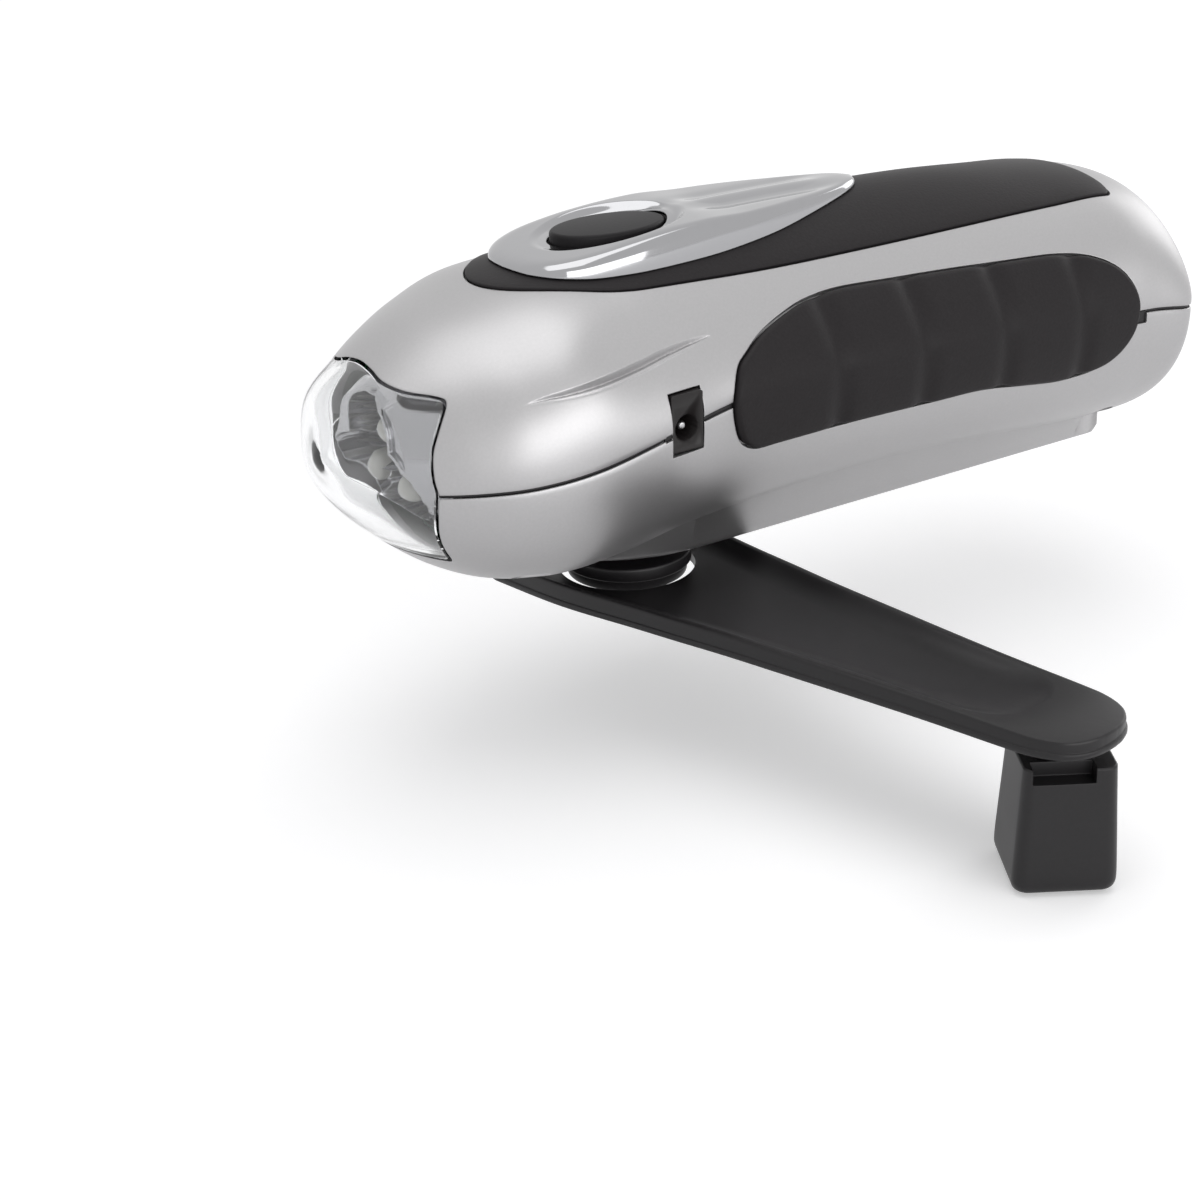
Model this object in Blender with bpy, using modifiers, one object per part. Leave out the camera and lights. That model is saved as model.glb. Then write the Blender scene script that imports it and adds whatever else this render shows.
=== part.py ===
"""Wind-up emergency torch: two clam shells, a clear nose, a push button and a folding crank.

Metres, +Z up. The origin is the centre of the keel's flat underside, and the nose points to -X.
"""
import math

import bmesh
import bpy
from mathutils import Matrix, Vector

# The body: how long, wide and tall it is, and where its parting line runs
BODY_FRONT = -0.0881
BODY_LENGTH = 0.1518
BODY_HALF_WIDTH = 0.0268
BELLY_LIFT = 0.0032
SEAM_DIP = 0.0061
CREST_RISE = 0.0217
BELLY_DROP = 0.0250
WALL = 0.0022
CLEARANCE = 0.0003
OVERRUN = 0.004

# Along the length, half-width, dip of the seam, rise over the seam, drop under it,
# then fullness of side and top above the seam, and of side and bottom below it
BODY_STATION_SHARES = (
    (0.000, 0.000, 0.560, 0.000, 0.000, 0.60, 0.62, 0.55, 0.55),
    (0.009, 0.190, 0.750, 0.267, 0.128, 0.63, 0.66, 0.55, 0.55),
    (0.024, 0.418, 0.930, 0.512, 0.260, 0.68, 0.74, 0.55, 0.55),
    (0.057, 0.597, 1.000, 0.724, 0.444, 0.52, 0.67, 0.56, 0.56),
    (0.098, 0.787, 0.950, 0.866, 0.648, 0.46, 0.67, 0.57, 0.57),
    (0.144, 0.929, 0.850, 0.945, 0.800, 0.45, 0.76, 0.58, 0.58),
    (0.202, 1.000, 0.660, 1.000, 0.904, 0.41, 0.85, 0.60, 0.60),
    (0.276, 0.993, 0.330, 0.995, 0.972, 0.31, 0.64, 0.60, 0.60),
    (0.356, 0.937, 0.020, 0.972, 1.000, 0.24, 0.50, 0.60, 0.60),
    (0.455, 0.922, -0.030, 0.972, 0.980, 0.20, 0.44, 0.60, 0.60),
    (0.588, 0.929, 0.030, 0.977, 0.956, 0.21, 0.44, 0.60, 0.60),
    (0.720, 0.940, 0.150, 0.968, 0.952, 0.21, 0.54, 0.60, 0.60),
    (0.827, 0.948, 0.280, 0.931, 0.960, 0.25, 0.70, 0.60, 0.60),
    (0.910, 0.951, 0.340, 0.876, 0.965, 0.30, 0.86, 0.60, 0.60),
    (0.966, 0.951, 0.510, 0.843, 0.880, 0.24, 0.73, 0.60, 0.60),
    (0.986, 0.821, 0.570, 0.705, 0.680, 0.28, 0.58, 0.60, 0.60),
    (0.997, 0.638, 0.640, 0.470, 0.420, 0.41, 0.48, 0.55, 0.55),
    (1.000, 0.000, 0.660, 0.000, 0.000, 0.43, 0.48, 0.55, 0.55),
)
SEAM_LIP_SHARE = 0.04
RINGS_PER_SPAN = 2
QUARTER_STEPS = 6

# The keel under the body: front end, rear step, then its stations as shares
KEEL_FRONT = -0.0600
KEEL_SETBACK = 0.0107
KEEL_HALF_WIDTH = 0.0110
KEEL_TOP_HALF_WIDTH = 0.0181
KEEL_TOP = 0.0112
KEEL_LEAN_SHARE = 1.4
KEEL_STATION_SHARES = (
    (0.00, 0.40, 0.36, 0.55, 0.72),
    (0.09, 0.16, 0.68, 0.75, 0.86),
    (0.18, 0.03, 0.91, 0.86, 0.91),
    (0.27, 0.00, 1.00, 0.91, 0.95),
    (0.53, 0.00, 1.00, 1.00, 1.00),
    (0.93, 0.00, 1.00, 1.00, 1.00),
    (1.00, 0.00, 1.00, 0.97, 0.97),
)

# The clear nose, as a window seen from the front: height over and under the seam's level
LENS_HALF_WIDTH = 0.0169
LENS_TOP = 0.0091
LENS_BOTTOM = 0.0177
LENS_THICKNESS = 0.0018
LENS_REACH = 0.0161
SKIN_MARGIN = 0.00001
LENS_OUTLINE_SHARES = (
    (0.00, 1.00), (0.20, 0.96), (0.38, 0.87), (0.60, 0.785), (0.80, 0.745), (0.885, 0.66), (0.93, 0.36),
    (0.95, 0.00), (0.98, -0.20), (1.00, -0.34), (0.97, -0.54), (0.87, -0.80), (0.78, -0.98),
    (0.66, -1.00), (0.34, -0.99), (0.00, -0.99),
)

# The rubber inlays, which stand a little proud of the shells
INLAY_SEAT = 0.0009
TRIM_FRONT = -0.0609
TRIM_SETBACK = 0.0125
TRIM_HALF_WIDTH = 0.0139
TRIM_NOSE_LENGTH = 0.0200
TRIM_CORNER = 0.0020
TRIM_TAIL_BOW = 0.0012
TRIM_PROUD = 0.0003
TRIM_NOSE_STEPS = 14
GRIP_FRONT = -0.0338
GRIP_LENGTH = 0.0805
GRIP_RISE = 0.0108
GRIP_DROP = 0.0103
GRIP_PROUD = 0.0008
GRIP_INNER = 0.0120
GRIP_OUTLINE_SHARES = (
    (0.00, 0.00), (0.020, 0.40), (0.055, 0.58), (0.10, 0.74), (0.16, 0.87), (0.22, 0.96),
    (0.30, 1.00), (0.42, 0.97), (0.56, 0.93), (0.70, 0.88), (0.83, 0.83), (0.91, 0.71),
    (0.965, 0.48), (0.997, 0.10), (1.00, -0.25), (0.985, -0.55), (0.95, -0.82), (0.90, -0.96),
    (0.81, -1.00), (0.71, -0.91), (0.60, -0.80), (0.48, -0.79), (0.30, -0.77), (0.12, -0.78),
    (0.055, -0.76), (0.015, -0.52),
)
GROOVE_COUNT = 4
GROOVE_FIRST = -0.0140
GROOVE_PITCH = 0.0163
GROOVE_RADIUS = 0.0110
GROOVE_DEPTH = 0.0006

# The chrome bezel on the top, a drop shape round the button
BEZEL_FRONT = -0.0562
BEZEL_BACK = 0.0079
BEZEL_HALF_WIDTH = 0.0120
BEZEL_RISE = 0.0011
BEZEL_OUTLINE_SHARES = (
    (0.000, 0.00), (0.004, 0.24), (0.016, 0.48), (0.044, 0.70), (0.080, 0.84), (0.13, 0.94),
    (0.20, 0.99), (0.28, 1.00), (0.42, 0.96), (0.54, 0.89), (0.67, 0.78), (0.79, 0.62),
    (0.89, 0.45), (0.95, 0.31), (0.985, 0.16), (1.000, 0.00),
)
BEZEL_RING_SHARES = ((0.00, 0.16), (0.07, 0.52), (0.20, 0.86), (0.40, 1.00), (0.68, 0.94), (1.00, 0.66))
BEZEL_SEAT_SHARES = (1.00, 0.50, 0.00)

# The push button and the switch under it
BUTTON_X = -0.0382
BUTTON_HALF_LENGTH = 0.0094
BUTTON_HALF_WIDTH = 0.0058
BUTTON_RISE = 0.0221
BUTTON_CROWN = 0.0008
BUTTON_FLANGE = 0.0012
BUTTON_FLANGE_DROP = 0.0067
BUTTON_FLANGE_THICKNESS = 0.0012
BUTTON_FIT = 0.0004
BUTTON_SEGMENTS = 32
BUTTON_CROWN_SHARES = ((1.00, 0.0), (0.97, 0.5), (0.86, 0.8), (0.50, 1.0))
PLUNGER_RADIUS = 0.0020
PLUNGER_LENGTH = 0.0028
SWITCH_SIZE = 0.0080
SWITCH_HEIGHT = 0.0026

# Boards, lamps and reflector
BOARD_THICKNESS = 0.0016
BOARD_DROP = 0.0125
BOARD_FRONT = -0.0560
BOARD_BACK = -0.0110
BOARD_HALF_WIDTH = 0.0125
BOARD_POST_X = 0.0160
BOARD_POST_Y = 0.0092
BOARD_MIDDLE = -0.0335
LAMP_BOARD_REACH = 0.0182
LAMP_BOARD_INSET = 0.0030
LAMP_RADIUS = 0.0025
LAMP_LENGTH = 0.0078
LAMP_SPREAD = 0.0054
LAMP_UPPER_DROP = 0.0016
LAMP_LOWER_DROP = 0.0088
REFLECTOR_REACH = 0.0091
REFLECTOR_INSET = 0.0036
CUP_RADIUS = 0.0058
CUP_FLOOR_RADIUS = 0.0029

# The charging socket in the near side
JACK_X = -0.0426
JACK_WIDTH = 0.0054
JACK_DROP = 0.0048
JACK_RISE = 0.0037
JACK_FACE = -0.0258
JACK_LENGTH = 0.0116
JACK_BORE_RISE = 0.0034
JACK_BORE_RADIUS = 0.0019
JACK_BORE_DEPTH = 0.0080
JACK_PIN_RADIUS = 0.00065
JACK_PIN_LENGTH = 0.0066

# The crank axis and its train: module, teeth, lower face and thickness of each wheel
CRANK_X = -0.0360
COARSE_MODULE = 0.0007
FINE_MODULE = 0.0005
DRIVE_TEETH = 40
PINION_TEETH = 10
SECOND_TEETH = 40
THIRD_TEETH = 36
DRIVE_BOTTOM = 0.0122
DRIVE_THICKNESS = 0.0030
WHEEL_THICKNESS = 0.0025
WHEEL_STEP = 0.0010
AXLE_RADIUS = 0.00075
AXLE_SEAT = 0.0060
BOSS_RADIUS = 0.0024
TOOTH_ADDENDUM_SHARE = 0.80
TOOTH_DEDENDUM_SHARE = 1.15
TOOTH_TIP_SHARE = 0.20
TOOTH_ROOT_SHARE = 0.46

# The plate that carries the train's upper ends, and the generator on it
PLATE_BOTTOM = 0.0240
PLATE_THICKNESS = 0.0015
PLATE_FRONT_MARGIN = 0.0050
PLATE_BACK_MARGIN = 0.0023
PLATE_HALF_WIDTH = 0.0130
PLATE_POST_AHEAD = 0.0150
PLATE_POST_BEHIND = 0.0125
PLATE_POST_Y = 0.0105
PLATE_POST_RADIUS = 0.0023
PLATE_POST_FOOT = 0.0050
NECK_RADIUS = 0.0019
MAGNET_RADIUS = 0.0080
MAGNET_HEIGHT = 0.0060
STATOR_RADIUS = 0.0135
STATOR_WALL = 0.0012
STATOR_AIR_GAP = 0.0005

# The battery in the tail
BATTERY_RADIUS = 0.0075
BATTERY_SPACING = 0.0012
BATTERY_SETBACK = 0.0062
BATTERY_HEIGHT = 0.0310
CRADLE_THICKNESS = 0.0020
CRADLE_HALF_WIDTH = 0.0090
CRADLE_TOP = 0.0280
CRADLE_SPREAD_SHARE = 0.31

# Screws: those that close the shells, and the small ones inside
CASE_SCREW_REACH = 0.0261
CASE_SCREW_SETBACK = 0.0132
CASE_SCREW_Y = 0.0140
CASE_SEAT = 0.0090
CASE_POST_RADIUS = 0.0042
CASE_HEAD_RADIUS = 0.0027
CASE_HEAD_HEIGHT = 0.0018
CASE_SHANK_RADIUS = 0.0012
CASE_THREAD_DEPTH = 0.0070
SMALL_HEAD_RADIUS = 0.0017
SMALL_HEAD_HEIGHT = 0.0010
SMALL_SHANK_RADIUS = 0.0007
SMALL_THREAD_DEPTH = 0.0040
BOARD_POST_RADIUS = 0.0022

# The crank: shaft, bush and hub
SHAFT_RADIUS = 0.0025
SHAFT_PIVOT_RADIUS = 0.0015
COLLAR_RADIUS = 0.0036
COLLAR_HEIGHT = 0.0009
BUSH_WALL = 0.0014
BUSH_FLANGE = 0.0018
BUSH_FLANGE_THICKNESS = 0.0012
BUSH_SEAT = 0.0030
HUB_RADIUS = 0.0101
HUB_BOTTOM = -0.0036
HUB_TOP = -0.0014
HUB_FOOT_RADIUS = 0.0094
HUB_FOOT_BOTTOM = -0.0053
HUB_BOSS_RADIUS = 0.0060
HUB_WEB_BOTTOM = -0.00345
HUB_WEB_TOP = -0.00265
HUB_SCREW_HEAD_RADIUS = 0.0022
HUB_SCREW_HEAD_HEIGHT = 0.0008
HUB_SCREW_RADIUS = 0.0010
HUB_SCREW_LENGTH = 0.0060

# The folding arm: direction of its length at rest, then its tray along that length
ARM_HEADING = -79.0
PIN_OFFSET = 0.0143
PIN_HEIGHT = -0.0036
PIN_RADIUS = 0.0010
PIN_HALF_LENGTH = 0.0100
LUG_HALF_WIDTH = 0.0040
LUG_RADIUS = 0.0021
LUG_BOTTOM = -0.0046
LUG_GAP = 0.0005
ARM_BOTTOM = -0.0063
ARM_TIP_BOTTOM = -0.0053
ARM_FLOOR = 0.0016
ARM_TOP = -0.0025
ARM_ROOT = -0.0159
ARM_TIP_MARGIN = 0.0077
ARM_HALF_WIDTH = 0.0163
ARM_OUTLINE_SHARES = (
    (0.000, 0.80), (0.006, 0.92), (0.020, 0.985), (0.050, 1.00), (0.17, 1.00), (0.30, 0.90),
    (0.37, 0.85), (0.46, 0.78), (0.58, 0.71), (0.76, 0.61), (0.90, 0.56), (0.940, 0.53),
    (0.970, 0.45), (0.988, 0.33), (0.997, 0.19), (1.000, 0.06),
)
ARM_ROUND_SHARE = 0.5
DISH_TIP_SETBACK = 0.0110
DISH_LEVEL_SHARES = ((5.2, 0.00), (3.6, 0.18), (2.0, 0.58), (1.0, 1.00))
DISH_RIM = 0.0009
WINDOW_RADIUS = 0.0107
SLOT_OVERLAP = 0.0017

# The knob on its spindle
KNOB_REACH = 0.0812
KNOB_TOP = -0.0076
KNOB_HEIGHT = 0.0186
KNOB_HALF_SIDE = 0.0071
KNOB_CORNER_SHARE = 0.26
KNOB_TURN = -42.0
KNOB_COLLAR_RADIUS = 0.0034
KNOB_STATION_SHARES = (
    (0.000, 0.86), (0.040, 0.89), (0.30, 0.925), (0.62, 0.97), (0.87, 1.00), (0.945, 0.985),
    (0.985, 0.93), (1.000, 0.84),
)
NOTCH_FRONT = 0.0038
NOTCH_NEAR = 0.0052
NOTCH_FAR = 0.0032
NOTCH_DEPTH = 0.0021
SPINDLE_RADIUS = 0.0020
SPINDLE_HEAD_RADIUS = 0.0032
SPINDLE_HEAD_HEIGHT = 0.0014
SPINDLE_SEAT = 0.0145
SPINDLE_ROOF = 0.0008

# How finely round pieces are made
FINE_STEPS = 40
ROUND_STEPS = 24
SMALL_STEPS = 12
CORNER_STEPS = 4
CURVE_STEPS = 2
SMOOTH_ANGLE = 35.0
MERGE_DISTANCE = 0.00001

# Places that follow from the sizes above
SEAM_HEIGHT = BELLY_LIFT + BELLY_DROP
BUTTON_TOP = SEAM_HEIGHT + BUTTON_RISE
BUTTON_FLANGE_TOP = BUTTON_TOP - BUTTON_FLANGE_DROP
BOARD_TOP = BUTTON_TOP - BOARD_DROP
LAMP_UPPER = SEAM_HEIGHT - LAMP_UPPER_DROP
LAMP_LOWER = SEAM_HEIGHT - LAMP_LOWER_DROP
JACK_BOTTOM = SEAM_HEIGHT - JACK_DROP
JACK_TOP = SEAM_HEIGHT + JACK_RISE
BODY_BACK = BODY_FRONT + BODY_LENGTH
KEEL_BACK = BODY_BACK - KEEL_SETBACK
TRIM_BACK = BODY_BACK - TRIM_SETBACK
LENS_BACK = BODY_FRONT + LENS_REACH
LAMP_BOARD_FRONT = BODY_FRONT + LAMP_BOARD_REACH
REFLECTOR_FRONT = BODY_FRONT + REFLECTOR_REACH
JACK_BORE_HEIGHT = JACK_BOTTOM + JACK_BORE_RISE
ARM_TIP = KNOB_REACH + ARM_TIP_MARGIN
CASE_SCREW_FRONT = BODY_FRONT + CASE_SCREW_REACH
CASE_SCREW_BACK = BODY_BACK - CASE_SCREW_SETBACK
CASE_SCREW_PLACES = [(x, side * CASE_SCREW_Y) for x in (CASE_SCREW_FRONT, CASE_SCREW_BACK) for side in (-1.0, 1.0)]
BOARD_SCREW_PLACES = [(BOARD_MIDDLE + step * BOARD_POST_X, side * BOARD_POST_Y)
                      for step in (-1.0, 1.0) for side in (-1.0, 1.0)]
FIRST_X = CRANK_X + COARSE_MODULE * (DRIVE_TEETH + PINION_TEETH) * 0.5
SECOND_X = FIRST_X + FINE_MODULE * (SECOND_TEETH + PINION_TEETH) * 0.5
ROTOR_X = SECOND_X + FINE_MODULE * (THIRD_TEETH + PINION_TEETH) * 0.5
FIRST_WHEEL_BOTTOM = DRIVE_BOTTOM + DRIVE_THICKNESS + WHEEL_STEP
SECOND_WHEEL_BOTTOM = FIRST_WHEEL_BOTTOM + WHEEL_THICKNESS + WHEEL_STEP + CLEARANCE
FIRST_BOTTOM = DRIVE_BOTTOM - WHEEL_STEP * 0.5
SECOND_BOTTOM = FIRST_WHEEL_BOTTOM - WHEEL_STEP * 0.5
ROTOR_BOTTOM = SECOND_WHEEL_BOTTOM - CLEARANCE
PLATE_TOP = PLATE_BOTTOM + PLATE_THICKNESS
STATOR_BOTTOM = PLATE_TOP + CLEARANCE
STATOR_TOP = STATOR_BOTTOM + MAGNET_HEIGHT
AXLES = ((FIRST_X, FIRST_BOTTOM, PLATE_TOP), (SECOND_X, SECOND_BOTTOM, PLATE_TOP),
         (ROTOR_X, ROTOR_BOTTOM, STATOR_TOP + CLEARANCE))
PLATE_POST_FRONT = CRANK_X - PLATE_POST_AHEAD
PLATE_POST_BACK = ROTOR_X + PLATE_POST_BEHIND
PLATE_FRONT = PLATE_POST_FRONT - PLATE_FRONT_MARGIN
PLATE_BACK = PLATE_POST_BACK + PLATE_BACK_MARGIN
PLATE_SCREW_PLACES = [(x, side * PLATE_POST_Y) for x in (PLATE_POST_FRONT, PLATE_POST_BACK) for side in (-1.0, 1.0)]
BATTERY_FRONT = PLATE_BACK + BATTERY_SPACING
BATTERY_LENGTH = BODY_BACK - BATTERY_SETBACK - BATTERY_FRONT


def clear_scene():
    for thing in list(bpy.data.objects):
        bpy.data.objects.remove(thing, do_unlink=True)


def make_collection(name):
    collection = bpy.data.collections.new(name)
    bpy.context.scene.collection.children.link(collection)
    return collection


clear_scene()
PARTS = make_collection("emergency_flashlight")
CUTTERS = make_collection("cutters")


def make_material(name, colour, roughness, metallic=0.0):
    material = bpy.data.materials.new(name)
    material.use_nodes = True
    shader = material.node_tree.nodes["Principled BSDF"]
    shader.inputs["Base Color"].default_value = (*colour, 1.0)
    shader.inputs["Roughness"].default_value = roughness
    shader.inputs["Metallic"].default_value = metallic
    return material


SILVER = make_material("silver_paint", (0.46, 0.46, 0.47), 0.38, 0.7)
RUBBER = make_material("black_rubber", (0.035, 0.033, 0.034), 0.62)
BLACK = make_material("black_plastic", (0.022, 0.021, 0.022), 0.42)
CHROME = make_material("chrome", (0.80, 0.80, 0.82), 0.06, 1.0)
CLEAR = make_material("clear_plastic", (0.92, 0.93, 0.94), 0.04)
STEEL = make_material("steel", (0.52, 0.52, 0.53), 0.30, 1.0)
BRASS = make_material("brass", (0.62, 0.46, 0.20), 0.28, 1.0)
COPPER = make_material("copper_wire", (0.60, 0.28, 0.14), 0.35, 1.0)
NYLON = make_material("white_nylon", (0.78, 0.77, 0.72), 0.45)
BOARD = make_material("green_board", (0.03, 0.16, 0.07), 0.50)
WRAP = make_material("battery_wrap", (0.05, 0.18, 0.42), 0.40)
MAGNET = make_material("magnet", (0.10, 0.10, 0.11), 0.50, 0.4)


def place(bm, name, material, parent=None, cutter=False):
    """Turns a bmesh into a named object; a cutter goes to its own collection and isn't part of the model."""
    mesh = bpy.data.meshes.new(name)
    bmesh.ops.recalc_face_normals(bm, faces=bm.faces)
    bm.to_mesh(mesh)
    bm.free()
    thing = bpy.data.objects.new(name, mesh)
    thing.parent = parent
    if cutter:
        CUTTERS.objects.link(thing)
        thing.hide_render = True
        thing.display_type = "WIRE"
        return thing
    mesh.materials.append(material)
    mesh.shade_smooth()
    mesh.set_sharp_from_angle(angle=math.radians(SMOOTH_ANGLE))
    PARTS.objects.link(thing)
    return thing


def make_joint(name, location, heading=0.0):
    """An empty on a joint's axis, which carries the pieces that move about it."""
    empty = bpy.data.objects.new(name, None)
    empty.location = location
    empty.rotation_euler = (0.0, 0.0, math.radians(heading))
    PARTS.objects.link(empty)
    return empty


def combine(target, tool, operation):
    modifier = target.modifiers.new(tool.name, "BOOLEAN")
    modifier.operation = operation
    modifier.solver = "EXACT"
    modifier.object = tool
    return target


def add_thickness(thing, inward, outward=0.0):
    modifier = thing.modifiers.new("wall", "SOLIDIFY")
    modifier.thickness = inward + outward
    modifier.offset = (outward - inward) / (outward + inward)


def catmull(before, start, end, after, share):
    return [0.5 * (2.0 * b + (c - a) * share + (2.0 * a - 5.0 * b + 4.0 * c - d) * share ** 2
                   + (3.0 * b - a - 3.0 * c + d) * share ** 3)
            for a, b, c, d in zip(before, start, end, after)]


def smooth_rows(rows, steps):
    """Rows run through by a smooth curve, with the given number of steps in each span."""
    first = [2.0 * a - b for a, b in zip(rows[0], rows[1])]
    last = [2.0 * a - b for a, b in zip(rows[-1], rows[-2])]
    padded = [first, *rows, last]
    result = []
    for index in range(len(rows) - 1):
        for step in range(steps):
            result.append(catmull(*padded[index:index + 4], step / steps))
    result.append(list(rows[-1]))
    return result


def smooth_loop(points, steps):
    """A closed outline run through by a smooth curve."""
    count = len(points)
    result = []
    for index in range(count):
        corners = [points[(index + shift) % count] for shift in (-1, 0, 1, 2)]
        for step in range(steps):
            result.append(tuple(catmull(*corners, step / steps)))
    return result


def body_row(share_row):
    """Real sizes of one body section: x, half-width, seam, rise, drop and the four fullness shares."""
    along, width, dip, rise, drop = share_row[:5]
    return [BODY_FRONT + along * BODY_LENGTH, width * BODY_HALF_WIDTH, SEAM_HEIGHT - dip * SEAM_DIP,
            rise * CREST_RISE, drop * BELLY_DROP, *share_row[5:]]


BODY_ROWS = smooth_rows([body_row(row) for row in BODY_STATION_SHARES], RINGS_PER_SPAN)


def body_at(x):
    """The body section at a place along X."""
    for near, far in zip(BODY_ROWS, BODY_ROWS[1:]):
        if near[0] <= x <= far[0]:
            share = (x - near[0]) / (far[0] - near[0])
            return [a + (b - a) * share for a, b in zip(near, far)]
    return list(BODY_ROWS[-1])


def seam_at(x):
    return body_at(x)[2]


def quarter_curve(half_width, height, side, crown, steps):
    """From the seam to the crest: a short upright lip, then a cubic curve."""
    lip = height * SEAM_LIP_SHARE
    points = [(half_width, 0.0)]
    for step in range(steps + 1):
        t = step / steps
        a, b, c, d = (1.0 - t) ** 3, 3.0 * t * (1.0 - t) ** 2, 3.0 * t * t * (1.0 - t), t ** 3
        points.append((half_width * (a + b + crown * c), lip + (height - lip) * (side * b + c + d)))
    return points


def crest_height(x, y):
    """Height of the body's upper surface over a point of the plan."""
    row = body_at(x)
    curve = quarter_curve(row[1], row[3], row[5], row[6], ROUND_STEPS)
    for outer, inner in zip(curve, curve[1:]):
        if inner[0] <= abs(y) <= outer[0] and outer[0] > inner[0]:
            share = (outer[0] - abs(y)) / (outer[0] - inner[0])
            return row[2] + outer[1] + (inner[1] - outer[1]) * share
    return row[2]


def section_points(row, upper, lift, inset):
    """One half section from the -Y seam over the middle to the +Y seam."""
    height, side, crown = (row[3], row[5], row[6]) if upper else (row[4], row[7], row[8])
    sign = 1.0 if upper else -1.0
    curve = quarter_curve(row[1] - inset, height - inset - lift, side, crown, QUARTER_STEPS)
    left = [(row[0], -y, row[2] + sign * (lift + z)) for y, z in curve]
    right = [(row[0], y, row[2] + sign * (lift + z)) for y, z in reversed(curve[:-1])]
    return left + right


def bridge_rings(bm, rings, closed):
    """Quads between neighbouring rings of vertices; a ring of one vertex is a pole."""
    for near, far in zip(rings, rings[1:]):
        count = max(len(near), len(far))
        for index in range(count if closed else count - 1):
            after = (index + 1) % count
            corners = [near[index % len(near)], near[after % len(near)],
                       far[after % len(far)], far[index % len(far)]]
            unique = list(dict.fromkeys(corners))
            if len(unique) > 2:
                bm.faces.new(unique)


def body_rings(bm, halves, lift=0.0, inset=0.0):
    """Rings of the body's surface, between a pole at the nose and one at the tail."""
    rings = []
    scale = (BODY_LENGTH - inset - inset) / BODY_LENGTH
    middle = BODY_FRONT + BODY_LENGTH * 0.5
    for row in BODY_ROWS[1:-1]:
        points = section_points(row, halves[0], lift, inset)
        if len(halves) > 1:
            points = points + section_points(row, halves[1], lift, inset)[-2:0:-1]
        rings.append([bm.verts.new((middle + (x - middle) * scale, y, z)) for x, y, z in points])
    for row, end in ((BODY_ROWS[0], 0), (BODY_ROWS[-1], len(rings))):
        tip = bm.verts.new((middle + (row[0] - middle) * scale, 0.0, row[2]))
        rings.insert(end if end == 0 else len(rings), [tip])
    return rings


def half_shell(name, upper):
    """One half of the body as an open surface, given its wall inward."""
    bm = bmesh.new()
    rings = body_rings(bm, (upper,), CLEARANCE * 0.5)
    tips = (rings[0][0], rings[-1][0])
    for tip in tips:
        tip.co.z += (CLEARANCE if upper else -CLEARANCE) * 0.5
    bridge_rings(bm, rings, False)
    shell = place(bm, name, SILVER)
    flip_outward(shell, upper)
    add_thickness(shell, WALL)
    return shell


def flip_outward(thing, upper):
    """An open surface has no inside, so its faces are turned to point away from the seam's level."""
    mesh = thing.data
    face = max(mesh.polygons, key=lambda polygon: polygon.area * abs(polygon.normal.z))
    if (face.normal.z > 0.0) != upper:
        mesh.flip_normals()


def full_skin(name, inward, outward):
    """The whole body's surface as a skin that reaches the given depths in and out."""
    bm = bmesh.new()
    bridge_rings(bm, body_rings(bm, (True, False)), True)
    skin = place(bm, name, None, cutter=True)
    add_thickness(skin, inward, outward)
    return skin


def body_core(name, inset):
    """The body as a solid, smaller than the real one by the inset."""
    bm = bmesh.new()
    bridge_rings(bm, body_rings(bm, (True, False), 0.0, inset), True)
    return place(bm, name, None, cutter=True)


def prism_mesh(bm, outline, low, high, turn=lambda u, v, w: (u, v, w)):
    """A prism over a flat outline; turn says which way its plane and its length lie."""
    ends = [[bm.verts.new(turn(u, v, w)) for u, v in outline] for w in (low, high)]
    bm.faces.new(ends[0][::-1])
    bm.faces.new(ends[1])
    bridge_rings(bm, ends, True)


def along_x(u, v, w):
    return (w, u, v)


def along_y(u, v, w):
    return (u, w, v)


def cylinder_mesh(bm, centre, radius, low, high, steps, axis="Z", top_radius=None):
    """A cylinder or cone from low to high along an axis through the centre."""
    depth = high - low
    turn = {"Z": Matrix(), "X": Matrix.Rotation(math.radians(90.0), 4, "Y"),
            "Y": Matrix.Rotation(math.radians(-90.0), 4, "X")}[axis]
    shift = {"Z": (0.0, 0.0, low + depth * 0.5), "X": (low + depth * 0.5, 0.0, 0.0),
             "Y": (0.0, low + depth * 0.5, 0.0)}[axis]
    matrix = Matrix.Translation(Vector(centre) + Vector(shift)) @ turn
    bmesh.ops.create_cone(bm, cap_ends=True, segments=steps, radius1=radius,
                          radius2=radius if top_radius is None else top_radius, depth=depth, matrix=matrix)


def box_mesh(bm, low, high):
    size = [b - a for a, b in zip(low, high)]
    centre = [a + (b - a) * 0.5 for a, b in zip(low, high)]
    matrix = Matrix.Translation(centre) @ Matrix.Diagonal((*size, 1.0))
    bmesh.ops.create_cube(bm, size=1.0, matrix=matrix)


def mirrored(points):
    return [(x, -y) for x, y in points]


def lens_outline(grow):
    """The nose window seen from the front, widened by a clearance."""
    half = []
    for across, up in LENS_OUTLINE_SHARES:
        height = up * (LENS_TOP + grow if up > 0.0 else LENS_BOTTOM + grow)
        half.append((across * (LENS_HALF_WIDTH + grow), SEAM_HEIGHT + height))
    return half + [(-y, z) for y, z in half[-2:0:-1]]


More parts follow.
